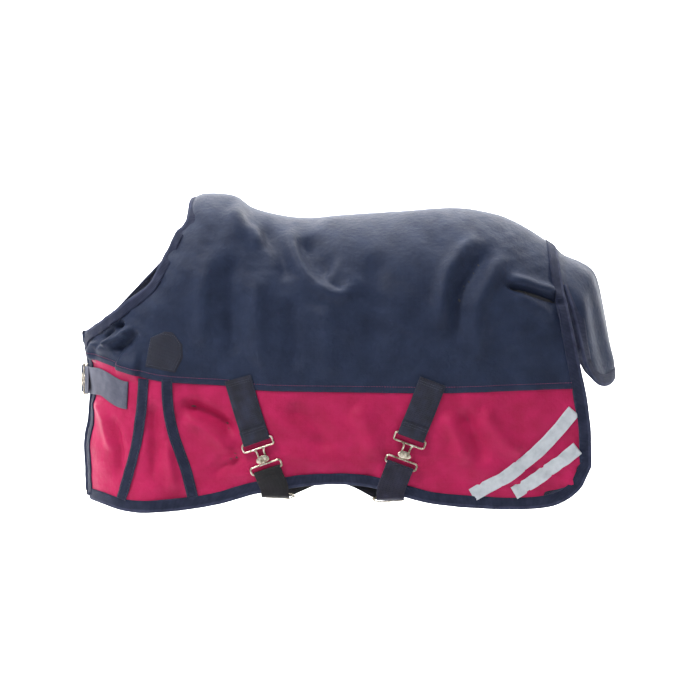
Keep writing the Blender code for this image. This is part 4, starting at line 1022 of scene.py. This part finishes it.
def tail_flap(looks):
    grid = flap_points(FLAP_COLUMNS, FLAP_ROWS)
    normals = grid_normals(grid)
    v = np.linspace(0, 1, grid.shape[0])[:, None]
    s = np.linspace(-1, 1, grid.shape[1])[None, :]
    folds = (0.0030 * np.sin(6.0 * s + 1.8 * v) + 0.0018 * np.sin(13 * s - 3 * v + 1)
             + 0.0020 * np.sin(9 * v + 2 * s)) * smooth(0.05, 0.5, v) * smooth(0, 0.12, 1 - v)
    grid = grid + normals * (folds * smooth(0, 0.2, 1 - np.abs(s)))[..., None]
    normals = grid_normals(grid)
    uv = np.stack([arc(grid.transpose(1, 0, 2)).T, arc(grid)], -1)
    outer = make_piece("tail_flap_cloth", [(grid, uv)], looks["navy"])
    under = grid - normals * FLAP_LINING_IN
    inner = make_piece("tail_flap_lining", [(under[:, ::-1], uv[:, ::-1])], looks["lining"])
    path = [(r, 0) for r in range(3, grid.shape[0] - 3)]
    path += [(grid.shape[0] - 1, c) for c in range(3, grid.shape[1] - 3)]
    path += [(r, grid.shape[1] - 1) for r in range(grid.shape[0] - 4, 2, -1)]
    index = np.array(path)
    edge = grid[index[:, 0], index[:, 1]]
    centre = np.stack([np.clip(index[:, 0], 0, grid.shape[0] - 9),
                       np.clip(index[:, 1], 8, grid.shape[1] - 9)], -1)
    inward = grid[centre[:, 0], centre[:, 1]] - edge
    ahead = unit(np.gradient(edge, axis=0))
    inward = unit(inward - ahead * (inward * ahead).sum(-1)[:, None])
    inner_line = edge + inward * BINDING_W
    edge_normal = normals[index[:, 0], index[:, 1]]
    inner_normal = normals[centre[:, 0], centre[:, 1]]
    bound = folded_binding("tail_flap_edge", edge, edge_normal, inner_line, inner_normal,
                           FLAP_STACK, looks)
    close_ends(bound.data)
    line = edge + inward * (BINDING_W - BINDING_SEW_IN)
    sewn = stitches("tail_flap_stitches", line + inner_normal * BINDING_SEW_RISE, inner_normal,
                    BINDING_STITCH, looks["navy_thread"])
    for piece in (outer, inner, bound, sewn):
        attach(piece, "tail_flap")
    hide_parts("tail_flap")
    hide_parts("tail_flap_binding")
    declare([(grid, uv)])


# ---- tapes, patches and stripes ---------------------------------------------------------
def side_run(line, side, count, out):
    """Points and normals of the folded cloth along a line of the side view."""
    places = spline(line, count)
    t = t_of(places[:, 0], places[:, 1], side)
    q = q_of(t, places[:, 1], side)
    return cloth_at(t, q, out)


def zigzag(points, normals, offset, swing, pitch):
    """A zigzag beside a line, for tape sewn down along its edge."""
    run = arc(points)
    count = max(int(run[-1] / pitch), 2)
    where = np.linspace(0, run[-1], count)
    middle = np.stack([np.interp(where, run, points[:, k]) for k in range(3)], -1)
    normal = unit(np.stack([np.interp(where, run, normals[:, k]) for k in range(3)], -1))
    across = unit(np.cross(normal, np.gradient(middle, axis=0)))
    shift = offset + swing * (-1.0) ** np.arange(count)
    return middle + across * shift[:, None], normal


def trims(looks):
    top = BINDING_W + 0.0021
    for side, word in ((-1, "left"), (1, "right")):
        for place, line in (("front", GUSSET_FRONT), ("rear", GUSSET_REAR)):
            foot = float(curve(HEM, curve(line, -0.51))) + top - 0.003
            heights = np.linspace(SHOULDER_PATCH[0][0][1] - 0.022, foot, 9)
            points, normals = side_run([(float(curve(line, z)), z) for z in heights], side, 60,
                                       0.0012)
            tape = band(f"{word}_{place}_tape", points, normals, TAPE_W, TAPE_T,
                        looks["binding"])
            made = [tape]
            for number, edge in enumerate((-TAPE_W / 2 + 0.0022, TAPE_W / 2 - 0.0022)):
                path, normal = zigzag(points + normals * 0.0009, normals, edge, 0.0014, 0.0030)
                made.append(stitches(f"{word}_{place}_tape_stitches_{number}", path, normal,
                                     ZIGZAG_STITCH, looks["navy_thread"]))
            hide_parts(f"{word}_{place}_gusset_tape")
            for piece in made:
                carry(piece, side > 0 and place == "front")
        shoulder_patch(word, side, looks)
        for name, line in (("upper", STRIPE_UPPER), ("lower", STRIPE_LOWER)):
            points, normals = side_run(line, side, 48, 0.0009)
            stripe = band(f"{word}_{name}_reflective", points, normals, STRIPE_W, STRIPE_T,
                          looks["silver"])
            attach(stripe, "rug")
            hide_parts(f"{word}_{name}_stripe")


def shoulder_patch(word, side, looks):
    """Pentagon of webbing sewn over the tops of the gusset tapes."""
    corners = np.array(SHOULDER_PATCH)
    flat_corners = corners.reshape(len(corners), 4)
    place = np.linspace(0, len(corners) - 1, PATCH_ROWS)
    rows = np.stack([np.interp(place, range(len(corners)), flat_corners[:, k])
                     for k in range(4)], -1)
    share = np.linspace(0, 1, PATCH_COLUMNS)[None, :, None]
    flat = rows[:, None, :2] * (1 - share) + rows[:, None, 2:] * share
    t = t_of(flat[..., 0], flat[..., 1], side)
    q = q_of(t, flat[..., 1], side)
    up, along = np.broadcast_arrays(np.linspace(0, 1, PATCH_ROWS)[:, None], share[..., 0])
    edge = np.minimum.reduce([up, 1 - up, along, 1 - along])
    out = mix(0.0002, 0.0022, smooth(-0.01, 0.06, edge))
    points, normals = cloth_at(t, q, out[..., None])
    order = slice(None, None, -1 if side > 0 else 1)
    grid = face_out(points[order], normals[PATCH_ROWS // 2, PATCH_COLUMNS // 2])
    patch = make_piece(f"{word}_shoulder_patch_webbing", [(grid, flat[order])], looks["patch_dark"])
    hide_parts(f"{word}_shoulder_patch")
    ring = [(0.05, a) for a in np.linspace(0.06, 0.94, 12)]
    ring += [(b, 0.94) for b in np.linspace(0.06, 0.94, 12)]
    ring += [(0.95, a) for a in np.linspace(0.94, 0.06, 12)]
    ring += [(b, 0.06) for b in np.linspace(0.94, 0.06, 12)]
    at = [(int(b * (PATCH_ROWS - 1)), int(a * (PATCH_COLUMNS - 1))) for b, a in ring]
    path = np.array([points[k] for k in at])
    normal = np.array([normals[k] for k in at])
    sewn = stitches(f"{word}_shoulder_patch_stitches", path + normal * 0.0002, normal,
                    PATCH_STITCH, looks["navy_thread"])
    for piece in (patch, sewn):
        carry(piece, side > 0)


# ---- straps -----------------------------------------------------------------------------
def fastener_axes(start, end, out):
    """Across, down from the plate's bar towards the hook's bar, and out."""
    down = unit(end - start)
    out = unit(out - down * (out @ down))
    return np.cross(down, out), down, out


def fold_round(bar, down, out, leaf_out, leaf_sign, length):
    """Webbing folded round a bar, as (middle, normal) places."""
    places = []
    for k in range(9):
        a = math.pi * k / 8
        normal = out * (-leaf_sign * math.cos(a)) + down * math.sin(a)
        places.append((bar + normal * BAR_TURN, normal))
    for share in (0.3, 0.5, 0.75, 1.0):
        away = mix(BAR_TURN, leaf_out, float(smooth(0.0, 0.6, share)))
        places.append((bar - down * (length * share) + out * (leaf_sign * away),
                       out * leaf_sign))
    return places


def hem_turn(x, drop, side):
    hem_z = float(curve(HEM, x))
    face = side_normal(np.array(x), hem_z, side)
    face[2] = 0
    face = unit(face)
    edge = at_side(np.array(x), hem_z, side, 0.0) + face * HEM_ROOM
    places = []
    for (inward, lift), (out, up) in [*HEM_TURN, ((HEM_TURN_DEEP, -drop), (0.0, -1.0))]:
        places.append((edge - face * inward + np.array((0, 0, lift)),
                       unit(face * out + np.array((0, 0, up)))))
    return places


def belly_run(near_x, drop, level):
    begin = hem_turn(near_x, drop, -1)[-1][0]
    middle = np.array((0, 0, level))
    return begin, begin + (middle - begin) * (1 - STRAIGHT_END_Y / abs(begin[1]))


def strap_places(points, side, lift):
    """Webbing places sewn along a line of the side view."""
    return [(at_side(np.array(x), z, side, lift), side_normal(np.array(x), z, side))
            for x, z in points]


def resample(places, spacing=0.0035):
    """Even, smooth places along a strap."""
    points = np.array([p for p, _ in places])
    normals = np.array([n for _, n in places])
    run = arc(points)
    keep = np.concatenate([[True], np.diff(run) > 1e-5])
    run, points, normals = run[keep], points[keep], normals[keep]
    where = np.linspace(0, run[-1], int(run[-1] / spacing) + 1)
    where = np.unique(np.concatenate([where, run]))
    at = np.concatenate([[True], np.diff(where) > 6e-4])
    where = where[at]
    both = [np.stack([curve(list(zip(run, values[:, k])), where) for k in range(3)], -1)
            for values in (points, normals)]
    return both[0], unit(both[1])


def cross_stitches(name, middle, across, normal, looks):
    """A row of stitches across webbing, where its folded end is sewn down."""
    run = np.linspace(-WEB_W / 2 + 0.003, WEB_W / 2 - 0.003, 30)
    line = middle + across * run[:, None] + normal * (WEB_T / 2 + 0.0001)
    return stitches(name, line, np.broadcast_to(normal, line.shape), STRAP_STITCH,
                    looks["navy_thread"])


def surcingle(word, line, hook_bar, near_x, drop, far_x, far_line, level, looks):
    rest = LAY_GAP + WEB_T / 2 + 0.0006
    start = at_side(np.array(line[-1][0]), line[-1][1], -1)
    out = side_normal(np.array(line[-1][0]), line[-1][1], -1)
    end = at_side(np.array(hook_bar[0]), hook_bar[1], -1)
    across, down, out = fastener_axes(start, end, out)
    bar = start + out * (LAY_GAP + WEB_T / 2 + BAR_TURN)
    hook_place = bar + down * FITTING_SPAN

    places = [(p, -n) for p, n in strap_places(spline(line, 14)[:-2], -1, rest)]
    places += fold_round(bar, down, out, LEAF_LIFT + 0.0001, 1, FOLD_BACK)
    points, normals = resample(places)
    upper = band(f"{word}_upper_webbing", points, normals, WEB_W, WEB_T, looks["webbing"])
    sewn = [cross_stitches(f"{word}_leaf_stitches_{k}", bar - down * (FOLD_BACK - away)
                           + out * (LEAF_LIFT + 0.0001), across, out, looks)
            for k, away in enumerate((0.0025, 0.0070))]
    top = unit(points[4] - points[0])
    for k, away in enumerate((0.003, 0.007)):
        sewn.append(cross_stitches(f"{word}_top_stitches_{k}", points[1] + top * away,
                                   unit(np.cross(-normals[1], top)), -normals[1], looks))

    places = fold_round(hook_place, -down, out, BAR_TURN, -1, HIDDEN_LEAF)[::-1]
    over_leaf = LEAF_GAP + WEB_T - BAR_TURN
    places.append((hook_place + down * (HIDDEN_LEAF * 0.6)
                   + out * mix(over_leaf, BAR_TURN, 0.4), out))
    places.append((hook_place + down * (HIDDEN_LEAF + 0.001) + out * over_leaf, out))
    places += hem_turn(near_x, drop, -1)
    run_start, run_end = belly_run(near_x, drop, level)
    below = np.array((0.0, 0.0, -1.0))
    places.append((run_end, below))
    far_turn = hem_turn(far_x, drop, 1)[::-1]
    places.append((mix(np.array((0, 0, level)), far_turn[0][0], 0.30), below))
    places += far_turn
    lift = LAY_GAP + WEB_T / 2 + 0.0010
    places += strap_places(spline([(far_x, float(curve(HEM, far_x)) + 0.012), *far_line], 9), 1,
                           lift)
    points, normals = resample(places)
    belly = band(f"{word}_belly_webbing", points, normals, WEB_W, WEB_T, looks["belly_" + word])
    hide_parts(f"{word}_upper_strap")
    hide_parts(f"{word}_belly_strap")
    for piece in (upper, belly, *sewn):
        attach(piece, "rug")

    matrix = (bar, across, down, out)
    fitting(f"{word}_plate_metal", plate_parts(), matrix, looks, f"{word}_plate")
    fitting(f"{word}_hook_metal", hook_parts(), matrix, looks, f"{word}_hook")
    heading = unit(run_end - run_start)
    under = unit(below - heading * (below @ heading))
    fitting(f"{word}_slide_metal", slide_parts(),
            (run_start + heading * SLIDE_PLACE, np.cross(heading, -under), heading, -under),
            looks, f"{word}_slide")


# ---- metal fittings: x across, y from the plate's bar to the hook's bar, z out -----------
def tube(points, radius, closed, sides=12):
    """Round bar along points: vertices and faces."""
    points = np.asarray(points, float)
    if closed:
        ahead = unit(np.roll(points, -1, 0) - np.roll(points, 1, 0))
    else:
        ahead = unit(np.gradient(points, axis=0))
    radius = np.broadcast_to(radius, len(points))
    side = unit(np.cross(ahead, np.array((0.02, 0.03, 1.0))))
    up = np.cross(side, ahead)
    turn = np.linspace(0, 2 * math.pi, sides, endpoint=False)
    rings = (points[:, None] + side[:, None] * (np.cos(turn)[None, :, None] * radius[:, None, None])
             + up[:, None] * (np.sin(turn)[None, :, None] * radius[:, None, None]))
    verts = rings.reshape(-1, 3).tolist()
    faces = []
    count = len(points)
    for k in range(count if closed else count - 1):
        for s in range(sides):
            a, b = k * sides + s, k * sides + (s + 1) % sides
            c, d = ((k + 1) % count) * sides + (s + 1) % sides, ((k + 1) % count) * sides + s
            faces.append((a, d, c, b))
    if not closed:
        faces.append(tuple(range(sides)))
        faces.append(tuple((count - 1) * sides + s for s in range(sides))[::-1])
    return verts, faces


def loop_path(width, near, far, corner, z=0.0):
    half = width / 2
    points = []
    for sx, sy, start in ((1, 1, 0), (-1, 1, 90), (-1, -1, 180), (1, -1, 270)):
        centre = (sx * (half - corner), (far - corner) if sy > 0 else (near + corner))
        for k in range(7):
            a = math.radians(start + 15 * k)
            points.append((centre[0] + corner * math.cos(a), centre[1] + corner * math.sin(a), z))
    dense = []
    for a, b in zip(points, points[1:] + points[:1]):
        gap = math.dist(a, b)
        extra = max(int(gap / 0.003), 1)
        dense += [tuple(mix(np.array(a), np.array(b), k / extra)) for k in range(extra)]
    return dense


def plate_parts():
    half = PLATE_SLOT_W / 2
    legs = [(half + 0.003, PLATE_LOOP, 0), (half + 0.0005, PLATE_LOOP + 0.005, 0),
            (half, PLATE_LOOP + 0.010, 0), (half, PLATE_SLOT_END - 0.006, 0),
            (half - 0.0015, PLATE_SLOT_END - 0.0015, 0), (half - 0.005, PLATE_SLOT_END, 0)]
    legs += [(-x, y, z) for x, y, z in legs[::-1]]
    return [tube(loop_path(LOOP_W, 0, PLATE_LOOP, LOOP_CORNER), WIRE_R, True),
            tube(spline(legs, 48), WIRE_R, False)]


def hook_parts():
    near = FITTING_SPAN - HOOK_LOOP
    stem = spline([(0, near + 0.0005, 0.0002), (0, near - 0.0022, 0.0012),
                   (0, near - 0.0048, 0.0036), (0, near - 0.0075, HEAD_RISE),
                   (0, PEG_AT + 0.001, HEAD_RISE)], 16)
    peg = [(0, PEG_AT, z) for z in np.linspace(PEG_TIP, HEAD_RISE, 5)]
    return [tube(loop_path(LOOP_W, near, FITTING_SPAN, LOOP_CORNER), WIRE_R, True),
            tube(stem, np.linspace(WIRE_R, WIRE_R * 1.25, 16), False),
            head_shell(), tube(peg, [0.0013, 0.0017, 0.0018, 0.0018, 0.0018], False)]


def head_shell():
    """Flat oval head, dished in its middle, with a raised rim and a fuller lower lip."""
    verts, faces = [], []
    sides, rings = 40, 9
    for ring in range(rings):
        s = ring / (rings - 1)
        for k in range(sides):
            a = 2 * math.pi * k / sides
            radius = math.sin(s * math.pi)
            radius = radius ** 0.55 if 0 < s < 1 else 0.02
            high = math.cos(s * math.pi)
            lip = 0.18 * max(-math.cos(a - math.pi / 2), 0) * (1 - abs(high))
            dish = 0.35 * (1 - radius) if s < 0.5 else 0.0
            verts.append((HEAD_L / 2 * radius * math.cos(a),
                          PEG_AT + 0.002 + HEAD_W / 2 * (radius + lip) * math.sin(a),
                          HEAD_RISE + 0.0004 + HEAD_T / 2 * (high - dish)))
    for ring in range(rings - 1):
        for k in range(sides):
            a, b = ring * sides + k, ring * sides + (k + 1) % sides
            faces.append((a, b, b + sides, a + sides)[::-1])
    faces.append(tuple(range(sides)))
    faces.append(tuple((rings - 1) * sides + k for k in range(sides))[::-1])
    return verts, faces


def slide_parts():
    lift = WEB_T / 2 + PIVOT_GAP + SLIDE_BAR_R
    half = LOOP_W / 2 - 0.0005
    arch = [(half, 0, -lift), (half, 0, -lift * 0.2), (half, 0, lift * 0.55),
            (half - 0.0012, 0, lift)]
    arch += [(-x, y, z) for x, y, z in arch[::-1]]
    return [tube(loop_path(2 * half, -SLIDE_L / 2, SLIDE_L / 2, 0.0035, -lift), SLIDE_BAR_R,
                 True),
            tube(spline(arch, 40), SLIDE_BAR_R * 0.95, False)]


def fitting(name, parts, axes, looks, node):
    """One metal piece from its bars, placed by (origin, across, down, out)."""
    origin, across, down, out = (np.asarray(v, float) for v in axes)
    verts, faces = [], []
    for part_verts, part_faces in parts:
        start = len(verts)
        verts += [tuple(origin + across * x + down * y + out * z) for x, y, z in part_verts]
        faces += [tuple(i + start for i in face) for face in part_faces]
    mesh = bpy.data.meshes.new(name)
    mesh.from_pydata(verts, [], faces)
    obj = place_mesh(name, mesh, looks["metal"])
    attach(obj, node)
    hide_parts(node)


# ---- chest fastening --------------------------------------------------------------------
def chest_bar(side, beyond):
    z = CHEST_TAB[-1][1]
    q = q_of(np.array(FRONT_T), z, side)
    along = base_point(FRONT_T + 0.002, q) - base_point(FRONT_T - 0.002, q)
    normal = base_normal(np.array(FRONT_T), q)
    along[2] = normal[2] = 0
    return base_point(FRONT_T, q) - unit(along) * beyond + unit(normal) * CHEST_BAR_OVER


def chest_fastening(looks):
    low, high = 0.0, 0.030
    for _ in range(30):
        beyond = (low + high) / 2
        far = np.linalg.norm(chest_bar(-1, beyond) - chest_bar(1, beyond)) > FITTING_SPAN
        low, high = (beyond, high) if far else (low, beyond)
    plate_bar, hook_bar = chest_bar(-1, beyond), chest_bar(1, beyond)
    across, down, out = fastener_axes(plate_bar, hook_bar, np.array((-1.0, 0, 0)))
    axes = (plate_bar, across, down, out)
    fitting("chest_plate_metal", plate_parts(), axes, looks, "chest_plate")
    fitting("chest_hook_metal", hook_parts(), axes, looks, "chest_hook")
    for side, word, bar, away, body in ((-1, "left", plate_bar, down, "rug"),
                                        (1, "right", hook_bar, -down, "right_chest_flap")):
        share = np.linspace(0, 1, 12)
        t = mix(float(t_of(*CHEST_TAB[0], side)), FRONT_T, share)
        z = mix(CHEST_TAB[0][1], CHEST_TAB[-1][1], smooth(0, 0.7, share))
        q = q_of(t, z, side)
        rise = mix(0.0018, 0.0044, smooth(0.55, 0.9, share))[:, None]
        normals = base_normal(t, q)
        points = base_point(t, q) + normals * rise
        places = [(p, -n) for p, n in zip(points, normals)]
        places += fold_round(bar, away, out, LEAF_LIFT + 0.0002, 1, CHEST_FOLD_BACK)
        middles, faces_out = resample(places)
        # the chest webbing's light colour is painted light: it is the straps' navy-black webbing,
        # painted lighter where it is lit
        tab = band(f"{word}_chest_webbing", middles, faces_out, WEB_W, WEB_T,
                   looks["chest_web"])
        sewn = cross_stitches(f"{word}_chest_leaf_stitches",
                              bar - away * (CHEST_FOLD_BACK - 0.003)
                              + out * (LEAF_LIFT + 0.0002), across, out, looks)
        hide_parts(f"{word}_chest_tab")
        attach(tab, body)
        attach(sewn, body)


# ---- stage, light and camera ------------------------------------------------------------
FLOOR_Z = -0.86            # a pony this size stands about this tall
VIEW_AT = (0.018, -0.17, -0.2394)
VIEW_WIDTH = 1.26          # width of the view where the near side hangs
VIEW_FAR = 9.0
VIEW_RISE = math.radians(2.5)
LAMPS = (                  # name, place, aim, size, watts, colour
    ("key", (-2.4, -1.9, 3.1), (-0.1, 0, -0.2), (0.8, 0.8), 135, (1.0, 0.985, 0.96)),
    ("front", (-3.6, -0.6, 0.5), (-0.3, 0, -0.3), (1.0, 1.6), 12, (1.0, 0.98, 0.97)),
    ("top", (0.6, 0.6, 3.2), (0.1, 0, 0), (2.0, 2.0), 30, (0.86, 0.91, 1.0)),
    ("wall", (0.0, 1.2, 2.4), (0.0, 4.2, 0.2), (7.0, 1.6), 1100, (1.0, 1.0, 1.0)),
    ("floor", (0.0, -1.2, 1.6), (0.0, 1.6, FLOOR_Z), (7.0, 1.6), 40, (1.0, 1.0, 1.0)),
)


def backdrop():
    """Floor that sweeps up into a wall behind the rug."""
    bend = 1.2
    profile = [(-9.0, FLOOR_Z), (0.0, FLOOR_Z), (3.0, FLOOR_Z)]
    profile += [(3.0 + bend * math.sin(a), FLOOR_Z + bend * (1 - math.cos(a)))
                for a in np.linspace(0.1, math.pi / 2, 14)]
    profile.append((3.0 + bend, 6.0))
    grid = np.array([[(x, y, z) for x in (12.0, -12.0)] for y, z in profile])
    uv = grid[..., :2]
    floor = make_piece("backdrop", [(grid, uv)], studio_white("studio_paper"))


def area_light(name, place, aim, size, power, colour):
    lamp = bpy.data.lights.new(name, "AREA")
    lamp.shape = "RECTANGLE"
    lamp.size, lamp.size_y = size
    lamp.energy = power
    lamp.color = colour
    obj = bpy.data.objects.new(name, lamp)
    bpy.context.scene.collection.objects.link(obj)
    obj.location = place
    obj.rotation_euler = (Vector(aim) - Vector(place)).to_track_quat("-Z", "Y").to_euler()


def lights():
    world = bpy.data.worlds.new("studio")
    world.use_nodes = True
    sky = world.node_tree.nodes["Background"]
    sky.inputs[0].default_value = (0.93, 0.96, 1.0, 1)
    sky.inputs[1].default_value = 0.17
    bpy.context.scene.world = world
    bpy.context.scene.view_settings.view_transform = "Standard"
    for lamp in LAMPS:
        area_light(*lamp)


def camera():
    data = bpy.data.cameras.new("camera")
    data.sensor_width = 36.0
    data.lens = data.sensor_width * VIEW_FAR / VIEW_WIDTH
    obj = bpy.data.objects.new("camera", data)
    bpy.context.scene.collection.objects.link(obj)
    aim = Vector(VIEW_AT)
    obj.location = aim + Vector((0, -math.cos(VIEW_RISE), math.sin(VIEW_RISE))) * VIEW_FAR
    obj.rotation_euler = (aim - obj.location).to_track_quat("-Z", "Y").to_euler()
    bpy.context.scene.camera = obj


def finishes():
    return {
        "navy": woven_cloth("navy_polyester", (0.011, 0.018, 0.044), (0.019, 0.030, 0.068), 0.03),
        "pink": woven_cloth("raspberry_polyester", (0.36, 0.008, 0.062), (0.50, 0.014, 0.100),
                            0.02),
        "lining": quilted_lining("black_nylon", (0.006, 0.007, 0.011), (0.018, 0.020, 0.030)),
        "binding": ribbed_tape("navy_edge_tape", (0.010, 0.014, 0.034), (0.030, 0.036, 0.072),
                               0.0024, BINDING_W),
        "webbing": webbing("navy_webbing", (0.006, 0.007, 0.016), (0.022, 0.026, 0.058)),
        "belly_front": webbing("black_webbing", (0.0035, 0.0032, 0.0050),
                               (0.010, 0.009, 0.014)),
        "belly_rear": webbing("navy_black_webbing", (0.007, 0.007, 0.020),
                              (0.018, 0.018, 0.046)),
        "patch_dark": webbing("dark_patch_webbing", (0.007, 0.008, 0.018),
                              (0.018, 0.021, 0.042)),
        # the chest tabs are the same navy-black webbing as the straps, given a light slate colour
        # as painted light where the sun falls on them
        "chest_web": webbing("painted_lit_chest_webbing", (0.060, 0.066, 0.105), (0.13, 0.135, 0.19)),
        "silver": reflective("reflective_silver"),
        "metal": plated_metal("antique_plate"),
        "navy_thread": thread("navy_sewing_thread", (0.05, 0.06, 0.10), (0.11, 0.12, 0.18)),
        "pink_thread": thread("magenta_sewing_thread", (0.30, 0.03, 0.12), (0.50, 0.06, 0.20)),
    }


def main():
    for unused in ("Cube", "Light", "Camera"):
        if unused in bpy.data.objects:
            bpy.data.objects.remove(bpy.data.objects[unused])
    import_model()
    looks = finishes()
    outer_cloth(looks)
    linings(looks)
    bindings(looks)
    seam_stitching(looks)
    tail_flap(looks)
    trims(looks)
    surcingle("front", FRONT_STRAP, FRONT_HOOK_BAR, FRONT_NEAR_X, FRONT_DROP, FRONT_FAR_X,
              REAR_STRAP[::-1], BELLY_Z, looks)
    surcingle("rear", REAR_STRAP, REAR_HOOK_BAR, REAR_NEAR_X, REAR_DROP, REAR_FAR_X,
              FRONT_STRAP[::-1], BELLY_Z - CROSS_STEP, looks)
    chest_fastening(looks)
    backdrop()
    lights()
    camera()
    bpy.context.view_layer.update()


main()
